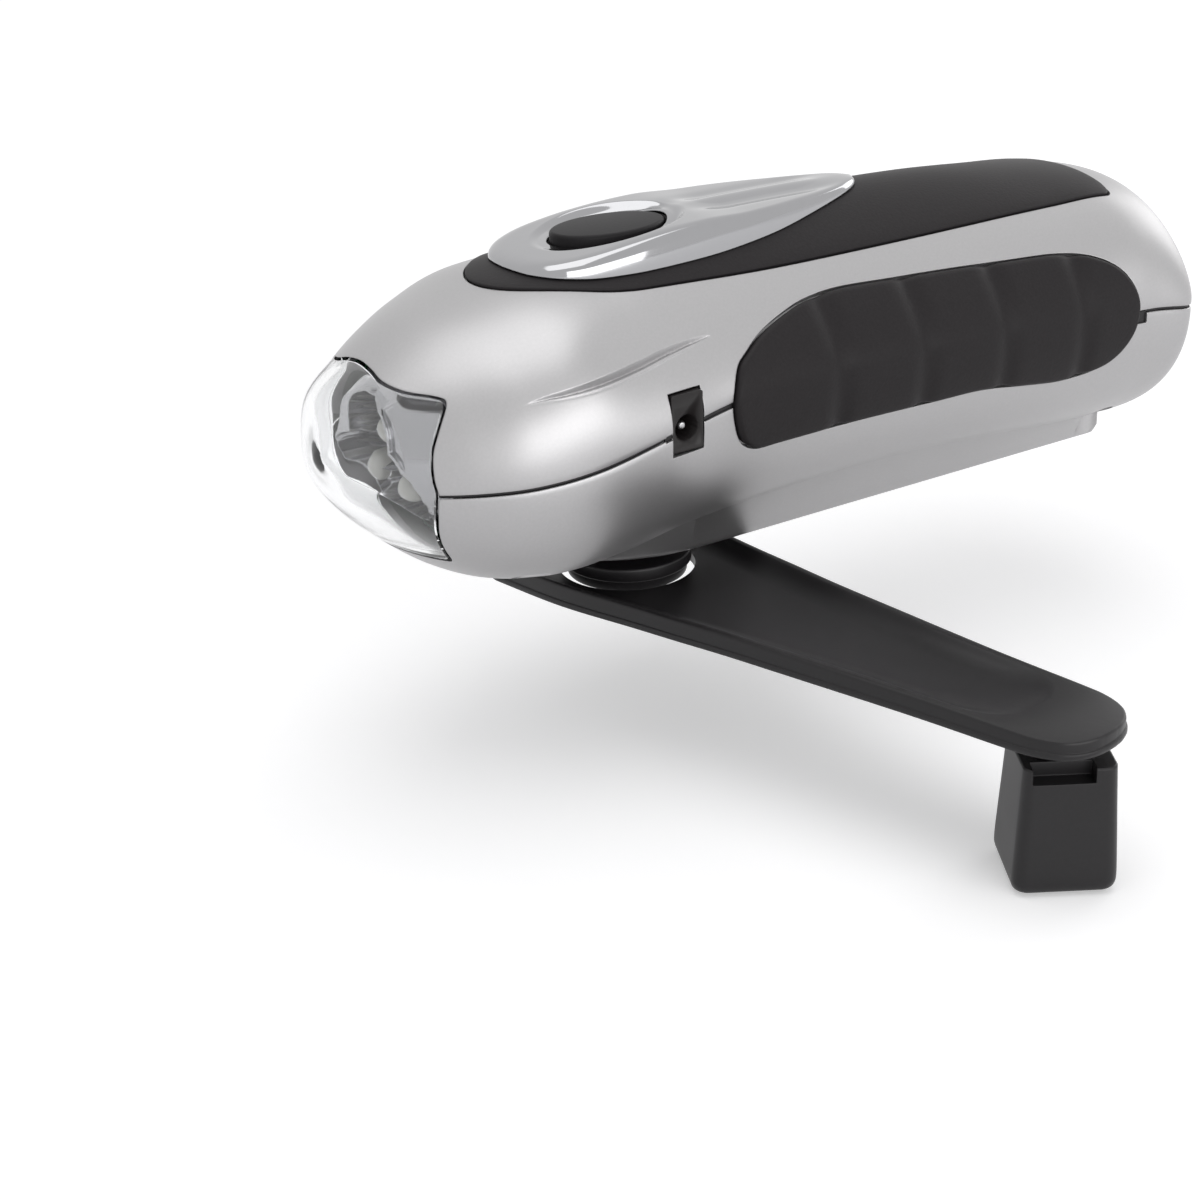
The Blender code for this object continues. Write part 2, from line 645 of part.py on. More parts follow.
def trim_outline(grow):
    """The top inlay in plan: an elliptic nose, straight sides and a square tail with round corners."""
    width = TRIM_HALF_WIDTH + grow
    half = []
    for step in range(TRIM_NOSE_STEPS + 1):
        angle = math.radians(90.0) * step / TRIM_NOSE_STEPS
        half.append((TRIM_FRONT - grow + (TRIM_NOSE_LENGTH + grow) * (1.0 - math.cos(angle)),
                     width * math.sin(angle)))
    for step in range(CORNER_STEPS + 1):
        angle = math.radians(90.0) * step / CORNER_STEPS
        half.append((TRIM_BACK + grow - TRIM_CORNER + TRIM_CORNER * math.sin(angle),
                     width - TRIM_CORNER + TRIM_CORNER * math.cos(angle)))
    half.append((TRIM_BACK + grow + TRIM_TAIL_BOW, 0.0))
    return half + mirrored(half[-2:0:-1])


def grip_outline(grow):
    """A side grip seen from the side, round the seam's level."""
    points = []
    for along, up in GRIP_OUTLINE_SHARES:
        height = up * (GRIP_RISE + grow if up > 0.0 else GRIP_DROP + grow)
        points.append((GRIP_FRONT - grow + along * (GRIP_LENGTH + grow + grow), SEAM_HEIGHT + height))
    return smooth_loop(points, CURVE_STEPS)


def ellipse(centre_x, half_length, half_width, steps):
    turn = math.radians(360.0) / steps
    return [(centre_x + half_length * math.cos(turn * step), half_width * math.sin(turn * step))
            for step in range(steps)]


def skin_patch(name, material, outline, low, high, turn, inward, outward):
    """A piece that follows the body's surface inside an outline."""
    bm = bmesh.new()
    prism_mesh(bm, outline, low, high, turn)
    patch = place(bm, name, material)
    combine(patch, full_skin(name + "_skin", inward, outward), "INTERSECT")
    return patch


def recess_cutter(name, outline, low, high, turn, depth):
    """What is taken out of the shells for a patch: as deep as asked, and open to the outside."""
    bm = bmesh.new()
    prism_mesh(bm, outline, low, high, turn)
    cutter = place(bm, name, None, cutter=True)
    combine(cutter, full_skin(name + "_skin", depth, OVERRUN), "INTERSECT")
    return cutter


def prism_cutter(name, outline, low, high, turn=lambda u, v, w: (u, v, w), parent=None):
    bm = bmesh.new()
    prism_mesh(bm, outline, low, high, turn)
    return place(bm, name, None, parent, cutter=True)


def keel_rows():
    rows = []
    for along, bottom, low_share, high_share, top in KEEL_STATION_SHARES:
        rows.append((KEEL_FRONT + along * (KEEL_BACK - KEEL_FRONT), bottom * KEEL_TOP,
                     low_share * KEEL_HALF_WIDTH, high_share * KEEL_TOP_HALF_WIDTH, top * KEEL_TOP))
    return rows


def keel_solid(name, inset, rise):
    """The keel, or with an inset the pocket inside it, which is open to the body's hollow."""
    bm = bmesh.new()
    rows = keel_rows()
    rings = []
    for index, (x, bottom, low_half, high_half, top) in enumerate(rows):
        place_x = x + (inset if index == 0 else -inset if index == len(rows) - 1 else 0.0)
        low, high = low_half - inset, high_half - inset * KEEL_LEAN_SHARE
        corners = ((-low, bottom + inset), (low, bottom + inset), (high, top + rise), (-high, top + rise))
        rings.append([bm.verts.new((place_x, y, z)) for y, z in corners])
    bm.faces.new(rings[0][::-1])
    bm.faces.new(rings[-1])
    bridge_rings(bm, rings, True)
    return place(bm, name, None, cutter=True)


def case_posts(name, upper):
    """Screw posts of one shell, from the parting line into the wall."""
    bm = bmesh.new()
    for x, y in CASE_SCREW_PLACES:
        seam = seam_at(x)
        low, high = (seam + CLEARANCE, seam + CREST_RISE) if upper else (WALL, seam - CLEARANCE)
        cylinder_mesh(bm, (x, y, 0.0), CASE_POST_RADIUS, low, high, SMALL_STEPS)
    if upper:
        for x, y in BOARD_SCREW_PLACES:
            cylinder_mesh(bm, (x, y, 0.0), BOARD_POST_RADIUS, BOARD_TOP + CLEARANCE,
                          SEAM_HEIGHT + CREST_RISE, SMALL_STEPS)
    posts = place(bm, name, None, cutter=True)
    return combine(posts, body_core(name + "_core", WALL * 0.5), "INTERSECT")


def floor_posts():
    """Bosses for the train's axles, posts under the plate and the battery's cradle."""
    bm = bmesh.new()
    for x, top, _ in AXLES:
        cylinder_mesh(bm, (x, 0.0, 0.0), BOSS_RADIUS, WALL * 0.5, top - CLEARANCE, SMALL_STEPS)
    for x, y in PLATE_SCREW_PLACES:
        cylinder_mesh(bm, (x, y, 0.0), PLATE_POST_RADIUS, PLATE_POST_FOOT, PLATE_BOTTOM - CLEARANCE, SMALL_STEPS)
    middle = BATTERY_FRONT + BATTERY_LENGTH * 0.5
    for side in (-1.0, 1.0):
        x = middle + side * BATTERY_LENGTH * CRADLE_SPREAD_SHARE
        box_mesh(bm, (x - CRADLE_THICKNESS * 0.5, -CRADLE_HALF_WIDTH, WALL * 0.5),
                 (x + CRADLE_THICKNESS * 0.5, CRADLE_HALF_WIDTH, CRADLE_TOP))
    return place(bm, "floor_posts", None, cutter=True)


def lower_bores():
    """Round holes in the lower shell: axles, screws, the bush and the battery's bed."""
    bm = bmesh.new()
    for x, top, _ in AXLES:
        cylinder_mesh(bm, (x, 0.0, 0.0), AXLE_RADIUS + CLEARANCE, top - AXLE_SEAT, top + OVERRUN, SMALL_STEPS)
    for x, y in PLATE_SCREW_PLACES:
        cylinder_mesh(bm, (x, y, 0.0), SMALL_SHANK_RADIUS + CLEARANCE,
                      PLATE_BOTTOM - SMALL_THREAD_DEPTH - OVERRUN * 0.5, PLATE_BOTTOM + OVERRUN, SMALL_STEPS)
    for x, y in CASE_SCREW_PLACES:
        cylinder_mesh(bm, (x, y, 0.0), CASE_HEAD_RADIUS + CLEARANCE, -OVERRUN, CASE_SEAT, SMALL_STEPS)
    cylinder_mesh(bm, (CRANK_X, 0.0, 0.0), SHAFT_RADIUS + CLEARANCE + BUSH_WALL + CLEARANCE,
                  -OVERRUN, KEEL_TOP + OVERRUN, ROUND_STEPS)
    flange = SHAFT_RADIUS + CLEARANCE + BUSH_WALL + BUSH_FLANGE
    cylinder_mesh(bm, (CRANK_X, 0.0, 0.0), flange + CLEARANCE, BUSH_SEAT - CLEARANCE, KEEL_TOP, ROUND_STEPS)
    middle = BATTERY_FRONT + BATTERY_LENGTH * 0.5
    cylinder_mesh(bm, (middle, 0.0, BATTERY_HEIGHT), BATTERY_RADIUS + CLEARANCE, -BATTERY_LENGTH * 0.5,
                  BATTERY_LENGTH * 0.5, ROUND_STEPS, "X")
    return place(bm, "lower_bores", None, cutter=True)


def case_screw_bores():
    bm = bmesh.new()
    for x, y in CASE_SCREW_PLACES:
        cylinder_mesh(bm, (x, y, 0.0), CASE_SHANK_RADIUS + CLEARANCE, CASE_SEAT - OVERRUN,
                      seam_at(x) + CASE_THREAD_DEPTH + CLEARANCE, SMALL_STEPS)
    return place(bm, "case_screw_bores", None, cutter=True)


def board_screw_bores():
    bm = bmesh.new()
    for x, y in BOARD_SCREW_PLACES:
        cylinder_mesh(bm, (x, y, 0.0), SMALL_SHANK_RADIUS + CLEARANCE, BOARD_TOP - OVERRUN,
                      BOARD_TOP + SMALL_THREAD_DEPTH + CLEARANCE, SMALL_STEPS)
    return place(bm, "board_screw_bores", None, cutter=True)


def jack_window():
    bm = bmesh.new()
    half = JACK_WIDTH * 0.5 + CLEARANCE
    box_mesh(bm, (JACK_X - half, -BODY_HALF_WIDTH - OVERRUN, JACK_BOTTOM - CLEARANCE),
             (JACK_X + half, JACK_FACE + JACK_LENGTH + OVERRUN, JACK_TOP + CLEARANCE))
    return place(bm, "jack_window", None, cutter=True)


def shell_cutters():
    """Everything that both shells are opened for."""
    roof = SEAM_HEIGHT + CREST_RISE + OVERRUN
    lens = prism_cutter("lens_window", lens_outline(CLEARANCE), BODY_FRONT - OVERRUN, LENS_BACK, along_x)
    sides = []
    for name, side in (("grip_left_recess", -1.0), ("grip_right_recess", 1.0)):
        ends = sorted((side * GRIP_INNER, side * (BODY_HALF_WIDTH + OVERRUN)))
        sides.append(recess_cutter(name, grip_outline(CLEARANCE), *ends, along_y, INLAY_SEAT + CLEARANCE))
    trim = recess_cutter("trim_recess", trim_outline(CLEARANCE), BOARD_TOP, roof,
                         lambda u, v, w: (u, v, w), INLAY_SEAT + CLEARANCE)
    return lens, sides, trim


def button_opening(name):
    fit = BUTTON_FIT
    return prism_cutter(name, ellipse(BUTTON_X, BUTTON_HALF_LENGTH + fit, BUTTON_HALF_WIDTH + fit, BUTTON_SEGMENTS),
                        BOARD_TOP, BUTTON_TOP + OVERRUN)


def build_shells():
    lens, sides, trim = shell_cutters()
    jack, screws = jack_window(), case_screw_bores()
    upper = half_shell("upper_shell", True)
    combine(upper, case_posts("upper_posts", True), "UNION")
    for cutter in (trim, *sides, lens, jack, button_opening("shell_button_opening"), screws, board_screw_bores()):
        combine(upper, cutter, "DIFFERENCE")
    lower = half_shell("lower_shell", False)
    combine(lower, keel_solid("keel", 0.0, 0.0), "UNION")
    combine(lower, keel_solid("keel_pocket", WALL, OVERRUN), "DIFFERENCE")
    combine(lower, case_posts("lower_posts", False), "UNION")
    combine(lower, floor_posts(), "UNION")
    for cutter in (*sides, lens, jack, screws, lower_bores()):
        combine(lower, cutter, "DIFFERENCE")


def build_lens():
    skin_patch("lens", CLEAR, lens_outline(0.0), BODY_FRONT - OVERRUN, LENS_BACK, along_x, LENS_THICKNESS, SKIN_MARGIN)


def build_trim():
    roof = SEAM_HEIGHT + CREST_RISE + OVERRUN
    trim = skin_patch("top_trim", RUBBER, trim_outline(0.0), BOARD_TOP, roof, lambda u, v, w: (u, v, w),
                      INLAY_SEAT, TRIM_PROUD)
    combine(trim, button_opening("trim_button_opening"), "DIFFERENCE")


def grip_grooves(name, side):
    """Upright rounds that press the finger hollows into a grip."""
    bm = bmesh.new()
    for index in range(GROOVE_COUNT):
        x = GROOVE_FIRST + index * GROOVE_PITCH
        reach = body_at(x)[1] + GRIP_PROUD - GROOVE_DEPTH + GROOVE_RADIUS
        cylinder_mesh(bm, (x, side * reach, SEAM_HEIGHT), GROOVE_RADIUS, -GRIP_DROP - OVERRUN,
                      GRIP_RISE + OVERRUN, ROUND_STEPS + ROUND_STEPS)
    return place(bm, name, None, cutter=True)


def build_grips():
    for name, side in (("grip_left", -1.0), ("grip_right", 1.0)):
        ends = sorted((side * GRIP_INNER, side * (BODY_HALF_WIDTH + OVERRUN)))
        grip = skin_patch(name, RUBBER, grip_outline(0.0), *ends, along_y, INLAY_SEAT, GRIP_PROUD)
        combine(grip, grip_grooves(name + "_grooves", side), "DIFFERENCE")


def bezel_outline():
    """The bezel in plan, a drop with its round end to the front, from the front tip round."""
    half = [(BEZEL_FRONT + along * (BEZEL_BACK - BEZEL_FRONT), across * BEZEL_HALF_WIDTH)
            for along, across in BEZEL_OUTLINE_SHARES]
    half = [tuple(row) for row in smooth_rows(half, CURVE_STEPS)]
    return half + mirrored(half[-2:0:-1])


def toward_button(point):
    """Where the line from the button's centre to an outline point leaves the button's opening."""
    dx, dy = point[0] - BUTTON_X, point[1]
    length, width = BUTTON_HALF_LENGTH + BUTTON_FIT, BUTTON_HALF_WIDTH + BUTTON_FIT
    scale = 1.0 / math.hypot(dx / length, dy / width)
    return (BUTTON_X + dx * scale, dy * scale)


def build_bezel():
    outline = bezel_outline()
    opening = [toward_button(point) for point in outline]
    bm = bmesh.new()
    rings = []
    for share, lift in BEZEL_RING_SHARES:
        ring = []
        for (ax, ay), (bx, by) in zip(outline, opening):
            x, y = ax + (bx - ax) * share, ay + (by - ay) * share
            base = crest_height(x, y) + TRIM_PROUD + CLEARANCE
            plateau = max(crest_height(x, 0.0) + TRIM_PROUD + BEZEL_RISE, base + BEZEL_RISE)
            ring.append(bm.verts.new((x, y, base + (plateau - base) * lift)))
        rings.append(ring)
    for share in BEZEL_SEAT_SHARES:
        ring = []
        for (ax, ay), (bx, by) in zip(outline, opening):
            x, y = ax + (bx - ax) * share, ay + (by - ay) * share
            ring.append(bm.verts.new((x, y, crest_height(x, y) + TRIM_PROUD + CLEARANCE)))
        rings.append(ring)
    bridge_rings(bm, [*rings, rings[0]], True)
    place(bm, "button_bezel", CHROME)


def build_button():
    joint = make_joint("button_axis", (BUTTON_X, 0.0, BUTTON_TOP))
    bm = bmesh.new()
    rings = []
    flange_bottom = BUTTON_FLANGE_TOP - BUTTON_FLANGE_THICKNESS - BUTTON_TOP
    for grow, height in ((BUTTON_FLANGE, flange_bottom), (BUTTON_FLANGE, BUTTON_FLANGE_TOP - BUTTON_TOP),
                         (0.0, BUTTON_FLANGE_TOP - BUTTON_TOP)):
        outline = ellipse(0.0, BUTTON_HALF_LENGTH + grow, BUTTON_HALF_WIDTH + grow, BUTTON_SEGMENTS)
        rings.append([bm.verts.new((x, y, height)) for x, y in outline])
    for share, lift in BUTTON_CROWN_SHARES:
        outline = ellipse(0.0, BUTTON_HALF_LENGTH * share, BUTTON_HALF_WIDTH * share, BUTTON_SEGMENTS)
        rings.append([bm.verts.new((x, y, BUTTON_CROWN * (lift - 1.0))) for x, y in outline])
    rings.append([bm.verts.new((0.0, 0.0, 0.0))])
    bm.faces.new(rings[0])
    bridge_rings(bm, rings, True)
    place(bm, "button_cap", RUBBER, joint)


def build_switch():
    board_top = BOARD_TOP + CLEARANCE
    bm = bmesh.new()
    half = SWITCH_SIZE * 0.5
    box_mesh(bm, (BUTTON_X - half, -half, board_top), (BUTTON_X + half, half, board_top + SWITCH_HEIGHT))
    body = place(bm, "switch_body", BLACK)
    bm = bmesh.new()
    cylinder_mesh(bm, (BUTTON_X, 0.0, 0.0), PLUNGER_RADIUS + CLEARANCE, board_top - OVERRUN,
                  board_top + SWITCH_HEIGHT + OVERRUN, ROUND_STEPS)
    combine(body, place(bm, "plunger_bore", None, cutter=True), "DIFFERENCE")
    top = BUTTON_FLANGE_TOP - BUTTON_FLANGE_THICKNESS - CLEARANCE
    joint = make_joint("plunger_axis", (BUTTON_X, 0.0, top))
    bm = bmesh.new()
    cylinder_mesh(bm, (0.0, 0.0, 0.0), PLUNGER_RADIUS, -PLUNGER_LENGTH, 0.0, ROUND_STEPS)
    place(bm, "switch_plunger", NYLON, joint)


def build_screw(name, x, y, seat, length, sizes, up, parent=None):
    """A pan-head screw whose head bears on a seat, with its shank going up or down."""
    head_radius, head_height, shank_radius = sizes
    sign = 1.0 if up else -1.0
    head, shank = bmesh.new(), bmesh.new()
    cylinder_mesh(head, (x, y, 0.0), head_radius, *sorted((seat, seat - sign * head_height)), SMALL_STEPS)
    ends = sorted((seat - sign * head_height * 0.5, seat + sign * length))
    cylinder_mesh(shank, (x, y, 0.0), shank_radius, *ends, SMALL_STEPS)
    screw = place(head, name, STEEL, parent)
    combine(screw, place(shank, name + "_shank", None, parent, cutter=True), "UNION")


def build_screws(name, places, sizes, up):
    for number, (x, y, seat, length) in enumerate(places):
        build_screw(f"{name}_{number + 1}", x, y, seat, length, sizes, up)


def build_board():
    bm = bmesh.new()
    box_mesh(bm, (BOARD_FRONT, -BOARD_HALF_WIDTH, BOARD_TOP - BOARD_THICKNESS),
             (BOARD_BACK, BOARD_HALF_WIDTH, BOARD_TOP))
    board = place(bm, "main_board", BOARD)
    combine(board, board_screw_bores(), "DIFFERENCE")


def build_lamps():
    front = LAMP_BOARD_FRONT
    row = body_at(front)
    upper, lower = (section_points(row, half, 0.0, LAMP_BOARD_INSET) for half in (True, False))
    bm = bmesh.new()
    outline = [(y, z) for _, y, z in upper + lower[-2:0:-1]]
    prism_mesh(bm, outline, front, front + BOARD_THICKNESS, along_x)
    place(bm, "led_board", BOARD)
    slab = bmesh.new()
    box_mesh(slab, (REFLECTOR_FRONT, -BODY_HALF_WIDTH, 0.0),
             (front - CLEARANCE, BODY_HALF_WIDTH, SEAM_HEIGHT + CREST_RISE))
    reflector = place(slab, "reflector", CHROME)
    combine(reflector, body_core("reflector_room", REFLECTOR_INSET), "INTERSECT")
    for name, y, z in (("led_top", 0.0, LAMP_UPPER), ("led_left", -LAMP_SPREAD, LAMP_LOWER),
                       ("led_right", LAMP_SPREAD, LAMP_LOWER)):
        cup = bmesh.new()
        cylinder_mesh(cup, (0.0, y, z), CUP_RADIUS, REFLECTOR_FRONT - CLEARANCE, front, ROUND_STEPS, "X",
                      CUP_FLOOR_RADIUS)
        combine(reflector, place(cup, name + "_cup", None, cutter=True), "DIFFERENCE")
        build_led(name, y, z, front - CLEARANCE)


def build_led(name, y, z, foot):
    """A round lamp with a domed front."""
    neck = foot - LAMP_LENGTH + LAMP_RADIUS
    lamp, dome = bmesh.new(), bmesh.new()
    cylinder_mesh(lamp, (0.0, y, z), LAMP_RADIUS, neck, foot, SMALL_STEPS, "X")
    matrix = Matrix.Translation((neck, y, z)) @ Matrix.Rotation(math.radians(90.0), 4, "Y")
    bmesh.ops.create_uvsphere(dome, u_segments=SMALL_STEPS, v_segments=SMALL_STEPS // 2,
                              radius=LAMP_RADIUS, matrix=matrix)
    combine(place(lamp, name, CLEAR), place(dome, name + "_dome", None, cutter=True), "UNION")


def build_jack():
    half = JACK_WIDTH * 0.5
    bm = bmesh.new()
    box_mesh(bm, (JACK_X - half, JACK_FACE, JACK_BOTTOM), (JACK_X + half, JACK_FACE + JACK_LENGTH, JACK_TOP))
    jack = place(bm, "charge_jack", BLACK)
    bm = bmesh.new()
    floor = JACK_FACE + JACK_BORE_DEPTH
    centre = (JACK_X, 0.0, JACK_BORE_HEIGHT)
    cylinder_mesh(bm, centre, JACK_BORE_RADIUS, JACK_FACE - OVERRUN, floor, ROUND_STEPS, "Y")
    combine(jack, place(bm, "jack_bore", None, cutter=True), "DIFFERENCE")
    bm = bmesh.new()
    cylinder_mesh(bm, centre, JACK_PIN_RADIUS, floor - CLEARANCE - JACK_PIN_LENGTH, floor - CLEARANCE,
                  SMALL_STEPS, "Y")
    place(bm, "jack_pin", STEEL)


def gear_outline(teeth, module, phase):
    """Plain tapered teeth, thinner than their gaps so that a pair runs with play."""
    pitch = math.radians(360.0) / teeth
    radius = module * teeth * 0.5
    tip = radius + module * TOOTH_ADDENDUM_SHARE
    root = radius - module * TOOTH_DEDENDUM_SHARE
    points = []
    for index in range(teeth):
        centre = pitch * (index + phase)
        for offset, reach in ((-TOOTH_ROOT_SHARE, root), (-TOOTH_TIP_SHARE, tip),
                              (TOOTH_TIP_SHARE, tip), (TOOTH_ROOT_SHARE, root)):
            angle = centre + offset * pitch * 0.5
            points.append((reach * math.cos(angle), reach * math.sin(angle)))
    return points


def bored(thing, radius, low, high, parent, steps=SMALL_STEPS):
    bm = bmesh.new()
    cylinder_mesh(bm, (0.0, 0.0, 0.0), radius, low, high, steps)
    return combine(thing, place(bm, thing.name + "_bore", None, parent, cutter=True), "DIFFERENCE")


def compound(name, joint, wheel_teeth, wheel_bottom, bottom, pinion_module):
    """A large wheel with a pinion below it, on its own axle."""
    bm = bmesh.new()
    prism_mesh(bm, gear_outline(wheel_teeth, FINE_MODULE, 0.0), wheel_bottom, wheel_bottom + WHEEL_THICKNESS)
    wheel = place(bm, name, NYLON, joint)
    pinion = prism_cutter(name + "_pinion", gear_outline(PINION_TEETH, pinion_module, 0.5), bottom,
                          wheel_bottom + WHEEL_THICKNESS * 0.5, parent=joint)
    combine(wheel, pinion, "UNION")
    return bored(wheel, AXLE_RADIUS + CLEARANCE, bottom - OVERRUN, wheel_bottom + WHEEL_THICKNESS + OVERRUN, joint)


def build_train(crank):
    bm = bmesh.new()
    prism_mesh(bm, gear_outline(DRIVE_TEETH, COARSE_MODULE, 0.0), DRIVE_BOTTOM, DRIVE_BOTTOM + DRIVE_THICKNESS)
    drive = place(bm, "drive_gear", NYLON, crank)
    bored(drive, SHAFT_RADIUS + CLEARANCE, DRIVE_BOTTOM - OVERRUN, DRIVE_BOTTOM + DRIVE_THICKNESS + OVERRUN,
          crank, ROUND_STEPS)
    first = make_joint("first_axis", (FIRST_X, 0.0, 0.0))
    compound("compound_gear_1", first, SECOND_TEETH, FIRST_WHEEL_BOTTOM, FIRST_BOTTOM, COARSE_MODULE)
    second = make_joint("second_axis", (SECOND_X, 0.0, 0.0))
    compound("compound_gear_2", second, THIRD_TEETH, SECOND_WHEEL_BOTTOM, SECOND_BOTTOM, FINE_MODULE)


def build_rotor():
    """The generator's magnet, with its pinion under the plate."""
    joint = make_joint("rotor_axis", (ROTOR_X, 0.0, 0.0))
    bm = bmesh.new()
    cylinder_mesh(bm, (0.0, 0.0, 0.0), MAGNET_RADIUS, STATOR_BOTTOM + CLEARANCE, STATOR_TOP, ROUND_STEPS)
    rotor = place(bm, "generator_rotor", MAGNET, joint)
    pinion_top = PLATE_BOTTOM - CLEARANCE
    neck = bmesh.new()
    cylinder_mesh(neck, (0.0, 0.0, 0.0), NECK_RADIUS, pinion_top - WHEEL_STEP, STATOR_BOTTOM + WHEEL_STEP, SMALL_STEPS)
    combine(rotor, place(neck, "rotor_neck", None, joint, cutter=True), "UNION")
    pinion = prism_cutter("rotor_pinion", gear_outline(PINION_TEETH, FINE_MODULE, 0.5), ROTOR_BOTTOM, pinion_top,
                          parent=joint)
    combine(rotor, pinion, "UNION")
    bored(rotor, AXLE_RADIUS + CLEARANCE, ROTOR_BOTTOM - OVERRUN, STATOR_TOP + OVERRUN, joint)


def ring_profile(name, material, points, centre, parent=None, steps=FINE_STEPS):
    """A turned piece: a closed outline in radius and height, run round its axis."""
    bm = bmesh.new()
    rings = []
    turn = math.radians(360.0) / steps
    for step in range(steps):
        angle = turn * step
        rings.append([bm.verts.new((centre[0] + r * math.cos(angle), centre[1] + r * math.sin(angle),
                                    centre[2] + z)) for r, z in points])
    bridge_rings(bm, [*rings, rings[0]], True)
    return place(bm, name, material, parent)


def build_stator():
    inner, outer = MAGNET_RADIUS + STATOR_AIR_GAP, STATOR_RADIUS
    low, high, wall = STATOR_BOTTOM, STATOR_TOP, STATOR_WALL
    cage = ((inner, low), (outer, low), (outer, high), (inner, high), (inner, high - wall),
            (outer - wall, high - wall), (outer - wall, low + wall), (inner, low + wall))
    ring_profile("stator_cage", STEEL, cage, (ROTOR_X, 0.0, 0.0), steps=ROUND_STEPS)
    gap = wall + CLEARANCE
    coil = ((inner + CLEARANCE, low + gap), (outer - gap, low + gap), (outer - gap, high - gap),
            (inner + CLEARANCE, high - gap))
    ring_profile("generator_coil", COPPER, coil, (ROTOR_X, 0.0, 0.0), steps=ROUND_STEPS)


def build_plate():
    bm = bmesh.new()
    box_mesh(bm, (PLATE_FRONT, -PLATE_HALF_WIDTH, PLATE_BOTTOM), (PLATE_BACK, PLATE_HALF_WIDTH, PLATE_TOP))
    plate = place(bm, "gear_plate", BLACK)
    holes = bmesh.new()
    low, high = PLATE_BOTTOM - OVERRUN, PLATE_TOP + OVERRUN
    for x, radius in ((CRANK_X, SHAFT_PIVOT_RADIUS), (FIRST_X, AXLE_RADIUS), (SECOND_X, AXLE_RADIUS),
                      (ROTOR_X, NECK_RADIUS)):
        cylinder_mesh(holes, (x, 0.0, 0.0), radius + CLEARANCE, low, high, SMALL_STEPS)
    for x, y in PLATE_SCREW_PLACES:
        cylinder_mesh(holes, (x, y, 0.0), SMALL_SHANK_RADIUS + CLEARANCE, low, high, SMALL_STEPS)
    combine(plate, place(holes, "plate_holes", None, cutter=True), "DIFFERENCE")
    for number, (x, bottom, top) in enumerate(AXLES):
        pin = bmesh.new()
        cylinder_mesh(pin, (x, 0.0, 0.0), AXLE_RADIUS, bottom - AXLE_SEAT + CLEARANCE, top, SMALL_STEPS)
        place(pin, f"axle_{number + 1}", STEEL)


def build_battery():
    bm = bmesh.new()
    cylinder_mesh(bm, (0.0, 0.0, BATTERY_HEIGHT), BATTERY_RADIUS, BATTERY_FRONT, BATTERY_FRONT + BATTERY_LENGTH,
                  ROUND_STEPS, "X")
    place(bm, "battery_pack", WRAP)


def build_shaft(crank):
    """The steel crank shaft with its collar under the drive gear, and the bush that it runs in."""
    top = PLATE_BOTTOM - CLEARANCE
    collar_top = DRIVE_BOTTOM - CLEARANCE
    collar_bottom = collar_top - COLLAR_HEIGHT
    foot = HUB_WEB_TOP + CLEARANCE
    hole = HUB_SCREW_RADIUS + CLEARANCE
    depth = HUB_WEB_BOTTOM + HUB_SCREW_LENGTH + CLEARANCE
    outline = ((0.0, depth), (hole, depth), (hole, foot), (SHAFT_RADIUS, foot), (SHAFT_RADIUS, collar_bottom),
               (COLLAR_RADIUS, collar_bottom), (COLLAR_RADIUS, collar_top), (SHAFT_RADIUS, collar_top),
               (SHAFT_RADIUS, top), (SHAFT_PIVOT_RADIUS, top), (SHAFT_PIVOT_RADIUS, PLATE_TOP), (0.0, PLATE_TOP))
    mesh = bpy.data.meshes.new("crank_shaft")
    mesh.from_pydata([(r, 0.0, z) for r, z in outline[::-1]], [(i, i + 1) for i in range(len(outline) - 1)], [])
    shaft = bpy.data.objects.new("crank_shaft", mesh)
    shaft.parent = crank
    mesh.materials.append(STEEL)
    PARTS.objects.link(shaft)
    screw = shaft.modifiers.new("turned", "SCREW")
    screw.steps = ROUND_STEPS
    screw.render_steps = ROUND_STEPS
    screw.use_merge_vertices = True
    screw.merge_threshold = MERGE_DISTANCE
    screw.use_smooth_shade = True
    bore = SHAFT_RADIUS + CLEARANCE
    outer = bore + BUSH_WALL
    flange = outer + BUSH_FLANGE
    seat = BUSH_SEAT
    bush_top = collar_bottom - CLEARANCE
    bush = ((bore, CLEARANCE), (outer, CLEARANCE), (outer, seat), (flange, seat),
            (flange, seat + BUSH_FLANGE_THICKNESS), (outer, seat + BUSH_FLANGE_THICKNESS), (outer, bush_top),
            (bore, bush_top))
    ring_profile("shaft_bush", BRASS, bush, (CRANK_X, 0.0, 0.0), steps=ROUND_STEPS)


